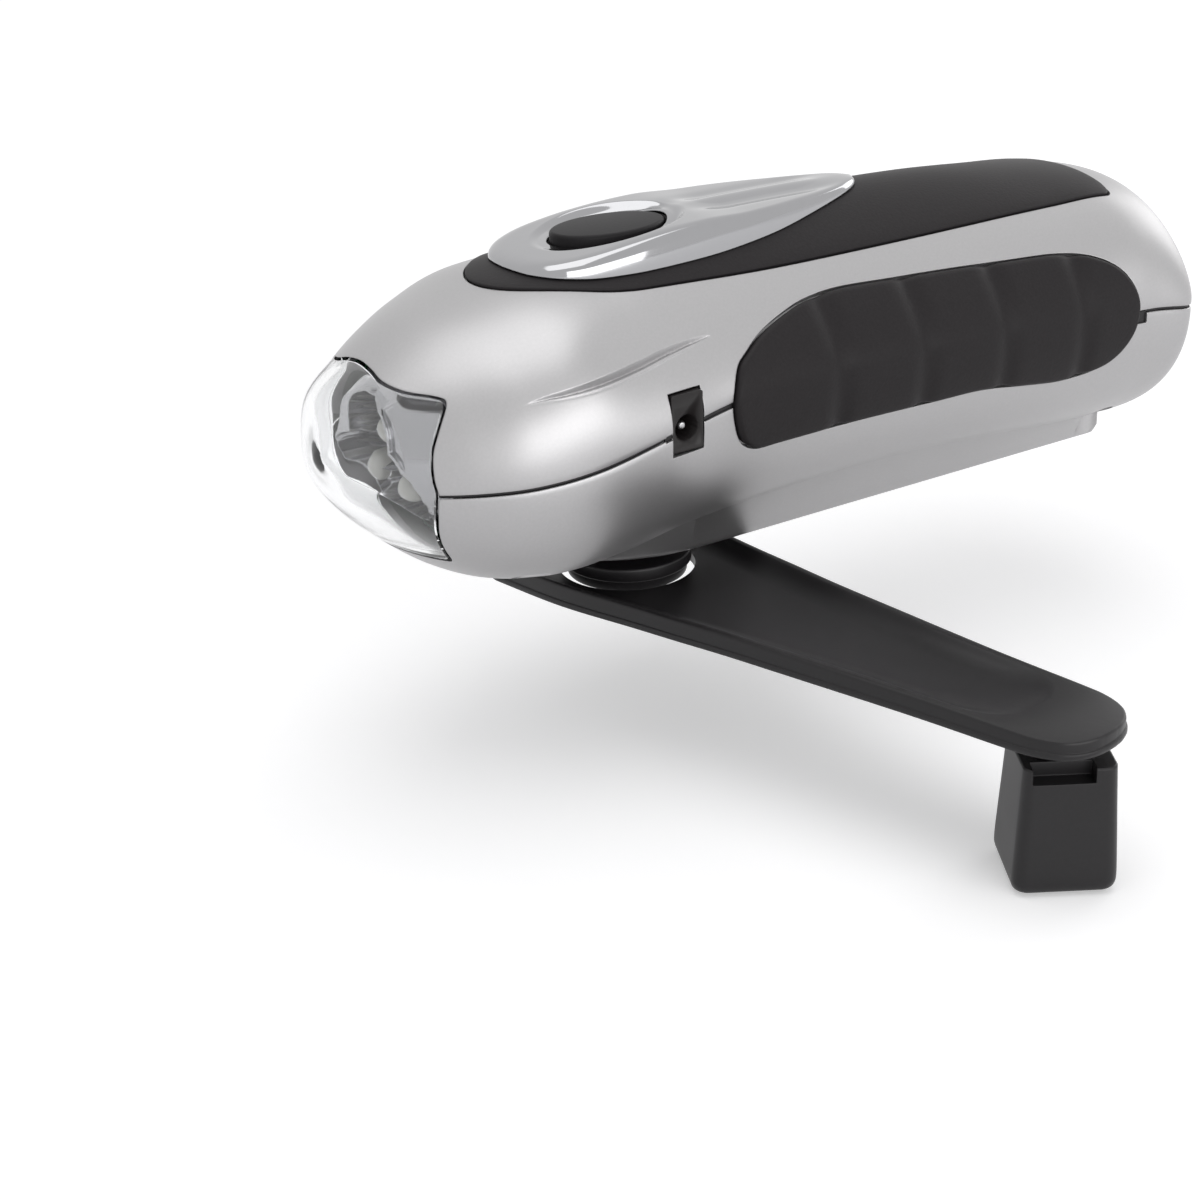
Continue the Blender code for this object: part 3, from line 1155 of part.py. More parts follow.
def build_hub(crank):
    """The plastic hub under the body, with the lug that the arm folds on."""
    turned = make_joint("hub_heading", (0.0, 0.0, 0.0), ARM_HEADING)
    turned.parent = crank
    bm = bmesh.new()
    cylinder_mesh(bm, (0.0, 0.0, 0.0), HUB_RADIUS, HUB_BOTTOM, HUB_TOP, FINE_STEPS)
    hub = place(bm, "crank_hub", BLACK, turned)
    boss, foot, lug, knuckle = bmesh.new(), bmesh.new(), bmesh.new(), bmesh.new()
    cylinder_mesh(boss, (0.0, 0.0, 0.0), HUB_BOSS_RADIUS, LUG_BOTTOM, -CLEARANCE, ROUND_STEPS)
    cylinder_mesh(foot, (0.0, 0.0, 0.0), HUB_FOOT_RADIUS, HUB_FOOT_BOTTOM, HUB_TOP - CLEARANCE, FINE_STEPS)
    box_mesh(lug, (-PIN_OFFSET, -LUG_HALF_WIDTH, LUG_BOTTOM), (0.0, LUG_HALF_WIDTH, HUB_TOP - CLEARANCE))
    cylinder_mesh(knuckle, (-PIN_OFFSET, 0.0, PIN_HEIGHT), LUG_RADIUS, -LUG_HALF_WIDTH, LUG_HALF_WIDTH,
                  ROUND_STEPS, "Y")
    for bm, name in ((boss, "hub_boss"), (foot, "hub_foot"), (lug, "hub_lug"), (knuckle, "hub_knuckle")):
        combine(hub, place(bm, name, None, turned, cutter=True), "UNION")
    holes = bmesh.new()
    cylinder_mesh(holes, (0.0, 0.0, 0.0), SHAFT_RADIUS + CLEARANCE, HUB_WEB_TOP, OVERRUN, ROUND_STEPS)
    cylinder_mesh(holes, (-PIN_OFFSET, 0.0, PIN_HEIGHT), PIN_RADIUS + CLEARANCE, -LUG_HALF_WIDTH - OVERRUN,
                  LUG_HALF_WIDTH + OVERRUN, SMALL_STEPS, "Y")
    cylinder_mesh(holes, (0.0, 0.0, 0.0), HUB_SCREW_HEAD_RADIUS + CLEARANCE, HUB_FOOT_BOTTOM - OVERRUN,
                  HUB_WEB_BOTTOM, ROUND_STEPS)
    combine(hub, place(holes, "hub_holes", None, turned, cutter=True), "DIFFERENCE")
    bored(hub, HUB_SCREW_RADIUS + CLEARANCE, HUB_WEB_BOTTOM - CLEARANCE, HUB_WEB_TOP + CLEARANCE, turned)
    sizes = (HUB_SCREW_HEAD_RADIUS, HUB_SCREW_HEAD_HEIGHT, HUB_SCREW_RADIUS)
    build_screw("hub_screw", 0.0, 0.0, HUB_WEB_BOTTOM - CLEARANCE, HUB_SCREW_LENGTH, sizes, True, crank)
    pin = bmesh.new()
    cylinder_mesh(pin, (-PIN_OFFSET, 0.0, PIN_HEIGHT), PIN_RADIUS, -PIN_HALF_LENGTH, PIN_HALF_LENGTH,
                  SMALL_STEPS, "Y")
    place(pin, "hinge_pin", STEEL, turned)


def arm_outline(inset, tip):
    """The arm in plan along its own length, drawn in by an inset; its corners stay round."""
    root, end = ARM_ROOT + inset, tip - inset
    half = [(root + along * (end - root), across * ARM_HALF_WIDTH - inset * min(1.0, across / ARM_ROUND_SHARE))
            for along, across in ARM_OUTLINE_SHARES]
    return half + mirrored(half[::-1])


def arm_underside(u):
    """Height over the pin of the arm's underside, which rises towards the tip."""
    share = (u - ARM_ROOT) / (ARM_TIP - ARM_ROOT)
    return ARM_BOTTOM + (ARM_TIP_BOTTOM - ARM_BOTTOM) * share - PIN_HEIGHT


def arm_level(bm, inset, tip, rise):
    """A ring of the arm's plan at a share of the height from its floor to its top edge."""
    high = ARM_TOP - PIN_HEIGHT
    ring = []
    for u, n in arm_outline(inset, tip):
        floor = arm_underside(u) + ARM_FLOOR
        ring.append(bm.verts.new((u + PIN_OFFSET, n, floor + (high - floor) * rise)))
    return ring


def capped_rings(bm, rings):
    bm.faces.new(rings[0][::-1])
    bm.faces.new(rings[-1])
    bridge_rings(bm, rings, True)


def arm_dish(joint):
    """What is hollowed out of the arm's top: a dish that ends before the tip."""
    bm = bmesh.new()
    tip = ARM_TIP - DISH_TIP_SETBACK + DISH_RIM
    rings = [arm_level(bm, DISH_RIM * steps, tip, rise) for steps, rise in DISH_LEVEL_SHARES]
    last = rings[-1]
    rings.append([bm.verts.new((v.co.x, v.co.y, v.co.z + OVERRUN)) for v in last])
    capped_rings(bm, rings)
    return place(bm, "arm_dish", None, joint, cutter=True)


def build_arm(joint):
    """The dished arm; its frame has the hinge pin at its origin and its length along +X."""
    low, high = ARM_BOTTOM - PIN_HEIGHT, ARM_TOP - PIN_HEIGHT
    bm = bmesh.new()
    outline = arm_outline(0.0, ARM_TIP)
    capped_rings(bm, [[bm.verts.new((u + PIN_OFFSET, n, arm_underside(u))) for u, n in outline],
                      [bm.verts.new((u + PIN_OFFSET, n, high)) for u, n in outline]])
    arm = place(bm, "crank_arm", BLACK, joint)
    combine(arm, arm_dish(joint), "DIFFERENCE")
    knuckles = bmesh.new()
    for side in (-1.0, 1.0):
        ends = sorted((side * (LUG_HALF_WIDTH + LUG_GAP), side * PIN_HALF_LENGTH))
        cylinder_mesh(knuckles, (0.0, 0.0, 0.0), LUG_RADIUS, *ends, ROUND_STEPS, "Y")
    combine(arm, place(knuckles, "arm_knuckles", None, joint, cutter=True), "UNION")
    slot = bmesh.new()
    width = LUG_HALF_WIDTH + LUG_GAP
    reach = PIN_OFFSET - WINDOW_RADIUS + SLOT_OVERLAP
    box_mesh(slot, (ARM_ROOT + PIN_OFFSET - OVERRUN, -width, low - OVERRUN), (reach, width, high + OVERRUN))
    combine(arm, place(slot, "arm_slot", None, joint, cutter=True), "DIFFERENCE")
    holes = bmesh.new()
    reach = PIN_HALF_LENGTH + OVERRUN
    cylinder_mesh(holes, (0.0, 0.0, 0.0), PIN_RADIUS + CLEARANCE, -reach, reach, SMALL_STEPS, "Y")
    cylinder_mesh(holes, (PIN_OFFSET, 0.0, 0.0), WINDOW_RADIUS, low - OVERRUN, high + OVERRUN, FINE_STEPS)
    cylinder_mesh(holes, (KNOB_REACH + PIN_OFFSET, 0.0, 0.0), SPINDLE_RADIUS + CLEARANCE, low - OVERRUN,
                  high - SPINDLE_ROOF + CLEARANCE, ROUND_STEPS)
    combine(arm, place(holes, "arm_holes", None, joint, cutter=True), "DIFFERENCE")


def rounded_square(half_side):
    corner = half_side * KNOB_CORNER_SHARE
    points = []
    for quarter in range(4):
        base = math.radians(90.0 * quarter + 45.0)
        reach = (half_side - corner) * math.sqrt(2.0)
        for step in range(CORNER_STEPS + 1):
            angle = math.radians(90.0 * quarter + 90.0 * step / CORNER_STEPS)
            points.append((reach * math.cos(base) + corner * math.cos(angle),
                           reach * math.sin(base) + corner * math.sin(angle)))
    return points


def build_knob(arm_joint):
    drop = KNOB_TOP - PIN_HEIGHT
    joint = make_joint("knob_axis", (KNOB_REACH + PIN_OFFSET, 0.0, drop), KNOB_TURN)
    joint.parent = arm_joint
    bm = bmesh.new()
    rings = []
    for along, share in KNOB_STATION_SHARES:
        rings.append([bm.verts.new((x, y, -along * KNOB_HEIGHT)) for x, y in rounded_square(KNOB_HALF_SIDE * share)])
    bm.faces.new(rings[0])
    rings.append([bm.verts.new((0.0, 0.0, -KNOB_HEIGHT))])
    bridge_rings(bm, rings, True)
    knob = place(bm, "knob", BLACK, joint)
    notch = bmesh.new()
    box_mesh(notch, (NOTCH_FRONT, -NOTCH_NEAR, -NOTCH_DEPTH), (KNOB_HALF_SIDE + OVERRUN, NOTCH_FAR, OVERRUN))
    combine(knob, place(notch, "knob_notch", None, joint, cutter=True), "DIFFERENCE")
    collar = bmesh.new()
    collar_top = arm_underside(KNOB_REACH) - CLEARANCE - drop
    cylinder_mesh(collar, (0.0, 0.0, 0.0), KNOB_COLLAR_RADIUS, -NOTCH_DEPTH, collar_top, ROUND_STEPS)
    combine(knob, place(collar, "knob_collar", None, joint, cutter=True), "UNION")
    bored(knob, SPINDLE_RADIUS + CLEARANCE, -SPINDLE_SEAT - CLEARANCE, collar_top + OVERRUN, joint, ROUND_STEPS)
    head = bmesh.new()
    cylinder_mesh(head, (0.0, 0.0, 0.0), SPINDLE_HEAD_RADIUS + CLEARANCE, -KNOB_HEIGHT - OVERRUN, -SPINDLE_SEAT,
                  ROUND_STEPS)
    combine(knob, place(head, "knob_head_bore", None, joint, cutter=True), "DIFFERENCE")
    sizes = (SPINDLE_HEAD_RADIUS, SPINDLE_HEAD_HEIGHT, SPINDLE_RADIUS)
    seat = drop - SPINDLE_SEAT - CLEARANCE
    length = ARM_TOP - PIN_HEIGHT - SPINDLE_ROOF - seat
    build_screw("knob_spindle", KNOB_REACH + PIN_OFFSET, 0.0, seat, length, sizes, True, arm_joint)


def build_crank():
    crank = make_joint("crank_axis", (CRANK_X, 0.0, 0.0))
    build_shaft(crank)
    build_hub(crank)
    build_train(crank)
    heading = math.radians(ARM_HEADING)
    pin = (CRANK_X - PIN_OFFSET * math.cos(heading), -PIN_OFFSET * math.sin(heading), PIN_HEIGHT)
    arm_joint = make_joint("arm_axis", pin, ARM_HEADING)
    build_arm(arm_joint)
    build_knob(arm_joint)


def build_fasteners():
    case = [(x, y, CASE_SEAT - CLEARANCE, seam_at(x) + CASE_THREAD_DEPTH - CASE_SEAT) for x, y in CASE_SCREW_PLACES]
    build_screws("case_screw", case, (CASE_HEAD_RADIUS, CASE_HEAD_HEIGHT, CASE_SHANK_RADIUS), True)
    small = (SMALL_HEAD_RADIUS, SMALL_HEAD_HEIGHT, SMALL_SHANK_RADIUS)
    plate = [(x, y, PLATE_TOP + CLEARANCE, SMALL_THREAD_DEPTH + PLATE_THICKNESS) for x, y in PLATE_SCREW_PLACES]
    build_screws("plate_screw", plate, small, False)
    under = BOARD_TOP - BOARD_THICKNESS - CLEARANCE
    board = [(x, y, under, BOARD_THICKNESS + SMALL_THREAD_DEPTH) for x, y in BOARD_SCREW_PLACES]
    build_screws("board_screw", board, small, True)


def build():
    build_shells()
    build_lens()
    build_trim()
    build_grips()
    build_bezel()
    build_button()
    build_switch()
    build_board()
    build_lamps()
    build_jack()
    build_plate()
    build_stator()
    build_rotor()
    build_battery()
    build_crank()
    build_fasteners()
    bpy.context.view_layer.update()


build()
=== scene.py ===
"""The looks of the wind-up emergency torch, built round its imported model. Metres, +Z up, nose to -X."""
import math

import bmesh
import bpy
import numpy as np
from mathutils import Matrix, Vector, geometry

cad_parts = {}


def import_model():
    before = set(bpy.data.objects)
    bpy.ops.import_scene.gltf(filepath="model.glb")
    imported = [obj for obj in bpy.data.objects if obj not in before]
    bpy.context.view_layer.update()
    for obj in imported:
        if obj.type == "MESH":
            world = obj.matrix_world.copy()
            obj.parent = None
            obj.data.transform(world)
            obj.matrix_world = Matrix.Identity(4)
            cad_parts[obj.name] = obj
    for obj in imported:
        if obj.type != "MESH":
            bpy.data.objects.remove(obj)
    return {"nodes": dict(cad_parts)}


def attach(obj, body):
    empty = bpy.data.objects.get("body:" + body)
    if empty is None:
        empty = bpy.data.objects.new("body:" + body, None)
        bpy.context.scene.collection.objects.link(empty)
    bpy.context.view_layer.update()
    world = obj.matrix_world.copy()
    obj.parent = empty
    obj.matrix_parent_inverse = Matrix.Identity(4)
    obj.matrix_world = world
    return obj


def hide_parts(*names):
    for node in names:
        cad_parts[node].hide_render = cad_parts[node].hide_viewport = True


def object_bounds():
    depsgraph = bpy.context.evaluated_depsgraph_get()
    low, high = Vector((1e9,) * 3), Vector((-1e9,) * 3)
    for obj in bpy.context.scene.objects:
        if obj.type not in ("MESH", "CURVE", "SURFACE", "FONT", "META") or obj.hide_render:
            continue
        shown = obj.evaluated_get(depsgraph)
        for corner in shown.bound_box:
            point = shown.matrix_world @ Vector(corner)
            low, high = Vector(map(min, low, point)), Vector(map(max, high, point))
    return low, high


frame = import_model()
cad_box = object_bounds()
NODES = frame["nodes"]
MM = 0.001

# Sizes in millimetres: those of the part's source, and a few of the scene's own, such as the seam's open width
BODY_FRONT, BODY_LENGTH, BODY_HALF_WIDTH = -88.1, 151.8, 26.8
SEAM_HEIGHT, SEAM_DIP, CREST_RISE, BELLY_DROP = 28.2, 6.1, 21.7, 25.0
LIP_SHARE = 0.04
GAP = 0.3
SEAM_GAP = 0.44
WALL = 2.2
LENS_HALF_WIDTH, LENS_TOP, LENS_BOTTOM = 16.9, 9.1, 17.7
TRIM_FRONT, TRIM_BACK, TRIM_HALF_WIDTH, TRIM_NOSE, TRIM_CORNER, TRIM_BOW = -60.9, 51.2, 13.9, 20.0, 2.0, 1.2
GRIP_FRONT, GRIP_LENGTH, GRIP_RISE, GRIP_DROP = -33.8, 80.5, 10.8, 10.3
GROOVES, GROOVE_FIRST, GROOVE_PITCH = 4, -14.0, 16.3
BEZEL_FRONT, BEZEL_LENGTH, BEZEL_HALF_WIDTH = -56.2, 64.1, 12.0
BUTTON_X, BUTTON_A, BUTTON_B, BUTTON_FIT = -38.2, 9.4, 5.8, 0.4
KEEL_FRONT, KEEL_LENGTH, KEEL_HALF_WIDTH, KEEL_TOP_HALF_WIDTH, KEEL_TOP = -60.0, 113.0, 11.0, 18.1, 11.2
JACK_X, JACK_Z, JACK_FACE, JACK_BACK, JACK_BORE = -42.6, 26.8, -25.8, -14.2, 1.9
JACK_SIDES, JACK_ENDS = (-45.3, -39.9), (23.4, 31.9)
LAMPS = (("led_top", 0.0, 26.6), ("led_left", -5.4, 19.4), ("led_right", 5.4, 19.4))
CUP_FLOOR, CUP_MOUTH, CUP_FLOOR_RADIUS, CUP_RADIUS, FLUTES = -70.2, -79.0, 2.9, 5.8, 16
HUB_X, HUB_RADIUS, HUB_BOTTOM, HUB_TOP, HUB_FOOT_RADIUS, HUB_FOOT_BOTTOM = -36.0, 10.1, -3.6, -1.4, 9.4, -5.3
PIN, PIN_HEIGHT, PIN_HOLE, LUG_RADIUS, LUG_HALF_WIDTH = 14.3, -3.6, 1.3, 2.1, 4.0
ARM_ROOT, ARM_TIP, ARM_TOP, ARM_BOTTOM, ARM_HALF_WIDTH, ARM_FLOOR = -15.9, 88.9, -2.5, -6.3, 16.3, 1.6
WINDOW_RADIUS = 10.7
CASE_SCREW_X, CASE_SCREW_Y = (-62.0, 50.5), (-14.0, 14.0)
KNOB_AT, KNOB_TOP, KNOB_HEIGHT, KNOB_HALF, KNOB_CORNER_SHARE, KNOB_TURN = 81.2, -7.6, 18.6, 7.1, 0.26, -42.0
ARM_HEADING = -79.0
CRANK = Matrix.Translation(Vector((HUB_X, 0, 0)) * MM) @ Matrix.Rotation(math.radians(ARM_HEADING), 4, "Z")
SLOPE_STEP = 0.05
# Along the body: share of its length, shares of half width, seam dip, crest and belly, and the handles of its curves
STATIONS = (
    (0.000, 0.000, 0.560, 0.000, 0.000, 0.60, 0.62, 0.55, 0.55),
    (0.009, 0.190, 0.750, 0.267, 0.128, 0.63, 0.66, 0.55, 0.55),
    (0.024, 0.418, 0.930, 0.512, 0.260, 0.68, 0.74, 0.55, 0.55),
    (0.057, 0.597, 1.000, 0.724, 0.444, 0.52, 0.67, 0.56, 0.56),
    (0.098, 0.787, 0.950, 0.866, 0.648, 0.46, 0.67, 0.57, 0.57),
    (0.144, 0.929, 0.850, 0.945, 0.800, 0.45, 0.76, 0.58, 0.58),
    (0.202, 1.000, 0.660, 1.000, 0.904, 0.41, 0.85, 0.60, 0.60),
    (0.276, 0.993, 0.330, 0.995, 0.972, 0.31, 0.64, 0.60, 0.60),
    (0.356, 0.937, 0.020, 0.972, 1.000, 0.24, 0.50, 0.60, 0.60),
    (0.455, 0.922, -0.030, 0.972, 0.980, 0.20, 0.44, 0.60, 0.60),
    (0.588, 0.929, 0.030, 0.977, 0.956, 0.21, 0.44, 0.60, 0.60),
    (0.720, 0.940, 0.150, 0.968, 0.952, 0.21, 0.54, 0.60, 0.60),
    (0.827, 0.948, 0.280, 0.931, 0.960, 0.25, 0.70, 0.60, 0.60),
    (0.910, 0.951, 0.340, 0.876, 0.965, 0.30, 0.86, 0.60, 0.60),
    (0.966, 0.951, 0.510, 0.843, 0.880, 0.24, 0.73, 0.60, 0.60),
    (0.986, 0.821, 0.570, 0.705, 0.680, 0.28, 0.58, 0.60, 0.60),
    (0.997, 0.638, 0.640, 0.470, 0.420, 0.41, 0.48, 0.55, 0.55),
    (1.000, 0.000, 0.660, 0.000, 0.000, 0.43, 0.48, 0.55, 0.55),
)


def between(a, b, c, d, t):
    """A smooth curve through four points, from the second at t = 0 to the third at t = 1."""
    return 0.5 * (2 * b + (c - a) * t + (2 * a - 5 * b + 4 * c - d) * t * t + (3 * b - a - 3 * c + d) * t ** 3)


def catmull_table(rows, steps):
    """Rows run through by a smooth curve, with the given number of steps in each span."""
    rows = np.array(rows, float)
    pad = np.vstack([2 * rows[0] - rows[1], rows, 2 * rows[-1] - rows[-2]])
    t = (np.arange(steps) / steps)[:, None]
    return np.vstack([between(*pad[i:i + 4], t) for i in range(len(rows) - 1)] + [rows[-1:]])


def real_rows(table):
    """The stations' shares as millimetres."""
    real = table.copy()
    real[:, 0] = BODY_FRONT + table[:, 0] * BODY_LENGTH
    real[:, 1] = np.maximum(table[:, 1], 0) * BODY_HALF_WIDTH
    real[:, 2] = SEAM_HEIGHT - table[:, 2] * SEAM_DIP
    real[:, 3] = np.maximum(table[:, 3], 0) * CREST_RISE
    real[:, 4] = np.maximum(table[:, 4], 0) * BELLY_DROP
    return real


TABLE = real_rows(catmull_table(STATIONS, 240))
TT = np.linspace(0, 1, 181)
ACROSS = (1 - TT) ** 3 + 3 * TT * (1 - TT) ** 2, 3 * TT * TT * (1 - TT)
UP = 3 * TT * (1 - TT) ** 2, 3 * TT * TT * (1 - TT) + TT ** 3


def quarter(t, w, lip, h, k1, k2):
    """A quarter of one section: across and up, from the lip at the seam to the crest or the belly."""
    across = w * ((1 - t) ** 3 + 3 * t * (1 - t) ** 2 + k2 * 3 * t * t * (1 - t))
    return across, lip + (h - lip) * (k1 * 3 * t * (1 - t) ** 2 + 3 * t * t * (1 - t) + t ** 3)


def columns(x):
    return [np.interp(x, TABLE[:, 0], TABLE[:, i]) for i in range(1, 9)]


def curves(x, upper):
    """Half-section curves at each x: across and height over the seam's level, one row per x."""
    w, s, rise, drop, k1u, k2u, k1l, k2l = columns(x)
    h = np.where(upper, rise, drop)[:, None]
    k1 = np.where(upper, k1u, k1l)[:, None]
    k2 = np.where(upper, k2u, k2l)[:, None]
    lip = h * LIP_SHARE
    return w[:, None] * (ACROSS[0] + k2 * ACROSS[1]), lip + (h - lip) * (k1 * UP[0] + UP[1]), s


def along(values, wanted, rising):
    """Index and share where a monotone row reaches the wanted value."""
    count = ((values < wanted[:, None]) if rising else (values > wanted[:, None])).sum(1)
    i = np.clip(count, 1, values.shape[1] - 1)
    r = np.arange(len(values))
    a, b = values[r, i - 1], values[r, i]
    f = np.clip((wanted - a) / np.where(abs(b - a) < 1e-9, 1e-9, b - a), 0, 1)
    return r, i, f


def side_y(x, z):
    """Half width of the body at a place in its side view, or -1 past its outline."""
    x, z = np.asarray(x, float), np.asarray(z, float)
    s = np.interp(x, TABLE[:, 0], TABLE[:, 2])
    yc, zc, _ = curves(x, z >= s)
    h = abs(z - s)
    r, i, f = along(zc, h, True)
    y = yc[r, i - 1] + (yc[r, i] - yc[r, i - 1]) * f
    return np.where(h > zc[:, -1], -1.0, y)


def top_z(x, y):
    """Height of the body's top at a place in plan."""
    x, y = np.asarray(x, float), abs(np.asarray(y, float))
    yc, zc, s = curves(x, np.full(x.shape, True))
    r, i, f = along(yc, y, False)
    return s + (zc[r, i - 1] + (zc[r, i] - zc[r, i - 1]) * f)


def front_x(y, z):
    """How far forward the nose reaches at a place in its front view."""
    y, z = abs(np.asarray(y, float)), np.asarray(z, float)
    lo, hi = np.full(y.shape, BODY_FRONT), np.full(y.shape, -55.0)
    for _ in range(34):
        mid = (lo + hi) / 2
        inside = side_y(mid, z) > y
        hi = np.where(inside, mid, hi)
        lo = np.where(inside, lo, mid)
    return (lo + hi) / 2


def slopes(height, u, v, e):
    """Slopes of a height along both of its coordinates."""
    return ((height(u + e, v) - height(u - e, v)) / (2 * e), (height(u, v + e) - height(u, v - e)) / (2 * e))


def placed(x, y, z, nx, ny, nz):
    """Points and their unit normals."""
    n = np.stack([nx, ny, nz], 1)
    return np.stack([x, y, z], 1), n / np.linalg.norm(n, axis=1)[:, None]


def on_top(p):
    x, y = p[:, 0], p[:, 1]
    du, dv = slopes(top_z, x, y, SLOPE_STEP)
    return placed(x, y, top_z(x, y), -du, -dv, np.ones_like(x))


def on_side(sign):
    def place(p):
        x, z = p[:, 0], p[:, 1]
        du, dv = slopes(side_y, x, z, SLOPE_STEP)
        return placed(x, sign * side_y(x, z), z, -du, np.full_like(x, sign), -dv)
    return place


def on_front(p):
    y, z = p[:, 0], p[:, 1]
    du, dv = slopes(front_x, y, z, 0.12)
    return placed(front_x(y, z), y, z, np.full_like(y, -1.0), du, dv)


def resample(points, spacing):
    """A closed outline with its long edges cut into short ones."""
    out = []
    for a, b in zip(points, points[1:] + points[:1]):
        steps = max(1, round(math.dist(a, b) / spacing))
        out += [(a[0] + (b[0] - a[0]) * k / steps, a[1] + (b[1] - a[1]) * k / steps) for k in range(steps)]
    return out


def smooth_loop(points, steps):
    """A closed outline run through by a smooth curve."""
    out, n = [], len(points)
    for i in range(n):
        near = [np.array(points[(i + k) % n]) for k in (-1, 0, 1, 2)]
        out += [tuple(between(*near, k / steps)) for k in range(steps)]
    return out


def inset(points, distance):
    """An outline moved inward; each point moves along its own normal."""
    p = np.array(points)
    tangent = np.roll(p, -1, 0) - np.roll(p, 1, 0)
    tangent /= np.linalg.norm(tangent, axis=1)[:, None]
    area = np.sum(p[:, 0] * np.roll(p[:, 1], -1) - np.roll(p[:, 0], -1) * p[:, 1])
    turn = 1.0 if area > 0 else -1.0
    return p + np.stack([-tangent[:, 1], tangent[:, 0]], 1) * turn * distance


def inside(points, polygon):
    """Which of the points lie inside an outline."""
    x, y = points[:, 0:1], points[:, 1:2]
    a, b = polygon, np.roll(polygon, -1, 0)
    cross = (a[:, 1] > y) != (b[:, 1] > y)
    at = (b[:, 0] - a[:, 0]) * (y - a[:, 1]) / np.where(b[:, 1] == a[:, 1], 1e-12, b[:, 1] - a[:, 1]) + a[:, 0]
    return (cross & (x < at)).sum(1) % 2 == 1


def fill(ring, spacing):
    """Points and triangles that fill an outline evenly."""
    lo, hi = ring.min(0), ring.max(0)
    gx = np.arange(lo[0] + spacing / 2, hi[0], spacing)
    gy = np.arange(lo[1] + spacing / 2, hi[1], spacing)
    grid = np.array([(x + (spacing / 2 if j % 2 else 0), y) for j, y in enumerate(gy) for x in gx])
    if len(grid):
        grid = grid[inside(grid, ring)]
        near = np.array([np.min(np.hypot(*(ring - g).T)) for g in grid]) if len(grid) else np.zeros(0)
        grid = grid[near > spacing * 0.6]
    points = [Vector(p) for p in ring] + [Vector(p) for p in grid]
    n = len(ring)
    edges = [(i, (i + 1) % n) for i in range(n)]
    _, _, faces, origin, _, _ = geometry.delaunay_2d_cdt(points, edges, [], 1, 1e-7)
    index = [old[0] for old in origin]
    return np.array([p[:] for p in points]), [[index[v] for v in f] for f in faces]


def skin(bm, rings):
    """Faces between each closed ring of corners and the next."""
    n = len(rings[0])
    for a, b in zip(rings, rings[1:]):
        for i in range(n):
            j = (i + 1) % n
            bm.faces.new([a[i], a[j], b[j], b[i]])


def patch(name, outline, surface, rings, depth, spacing, extra=None):
    """A closed piece on the body's surface: rings say inset and height, and the last one is filled."""
    bm = bmesh.new()

    def row(points, height, bump=False):
        where, normal = surface(np.array(points))
        lift = np.full(len(where), height, float)
        if extra is not None and bump:
            lift = lift + extra(where)
        return [bm.verts.new(p) for p in (where + normal * lift[:, None])]

    base, base_faces = fill(np.array(outline), spacing)
    low = row(base, -depth)
    for f in base_faces:
        bm.faces.new([low[i] for i in f][::-1])
    n = len(outline)
    last = low[:n]
    for distance, height in rings:
        points = inset(outline, distance)
        if distance == rings[-1][0]:
            cap, cap_faces = fill(points, spacing)
            new = row(cap, height, True)
            for f in cap_faces:
                bm.faces.new([new[i] for i in f])
        else:
            new = row(points, height, True)
        skin(bm, [last, new[:n]])
        last = new[:n]
    return finish_mesh(bm, name)


def shade(mesh, angle=32.0):
    mesh.shade_smooth()
    mesh.set_sharp_from_angle(angle=math.radians(angle))


def finish_mesh(bm, name, smooth=True, angle=32.0):
    """The mesh as an object, from millimetres to metres."""
    bmesh.ops.recalc_face_normals(bm, faces=bm.faces)
    for v in bm.verts:
        v.co *= MM
    mesh = bpy.data.meshes.new(name)
    bm.to_mesh(mesh)
    bm.free()
    if smooth:
        shade(mesh, angle)
    thing = bpy.data.objects.new(name, mesh)
    bpy.context.scene.collection.objects.link(thing)
    return thing


def apply(thing):
    """Runs a piece's modifiers into its mesh, and removes them."""
    graph = bpy.context.evaluated_depsgraph_get()
    mesh = bpy.data.meshes.new_from_object(thing.evaluated_get(graph), depsgraph=graph)
    old = thing.data
    thing.modifiers.clear()
    thing.data = mesh
    bpy.data.meshes.remove(old)
    return thing


def cut(thing, tool, operation="DIFFERENCE"):
    m = thing.modifiers.new("cut", "BOOLEAN")
    m.operation, m.solver, m.object = operation, "EXACT", tool
    apply(thing)
    bpy.data.objects.remove(tool, do_unlink=True)
    return thing


def prism(name, outline, low, high, turn=lambda u, v, w: (u, v, w)):
    """An outline drawn out between two heights, and turned to its own axes."""
    bm = bmesh.new()
    a = [bm.verts.new(turn(u, v, low)) for u, v in outline]
    b = [bm.verts.new(turn(u, v, high)) for u, v in outline]
    bm.faces.new(a[::-1])
    bm.faces.new(b)
    skin(bm, [a, b])
    return finish_mesh(bm, name)


def lathe(name, outline, centre, steps, axis="Z"):
    """A turned piece from a closed outline in radius and height."""
    bm = bmesh.new()
    rings = []
    for k in range(steps):
        a = 2 * math.pi * k / steps
        ring = []
        for r, h in outline:
            p = {"Z": (r * math.cos(a), r * math.sin(a), h), "Y": (r * math.cos(a), h, r * math.sin(a)),
                 "X": (h, r * math.cos(a), r * math.sin(a))}[axis]
            ring.append(bm.verts.new([p[i] + centre[i] for i in range(3)]))
        rings.append(ring)
    skin(bm, rings + rings[:1])
    bmesh.ops.remove_doubles(bm, verts=bm.verts, dist=1e-6)
    bmesh.ops.dissolve_degenerate(bm, edges=bm.edges, dist=1e-6)
    return finish_mesh(bm, name)


def noise(nodes, links, scale, detail):
    place = nodes.new("ShaderNodeTexCoord")
    tex = nodes.new("ShaderNodeTexNoise")
    tex.inputs["Scale"].default_value = scale
    tex.inputs["Detail"].default_value = detail
    links.new(place.outputs["Object"], tex.inputs["Vector"])
    return tex


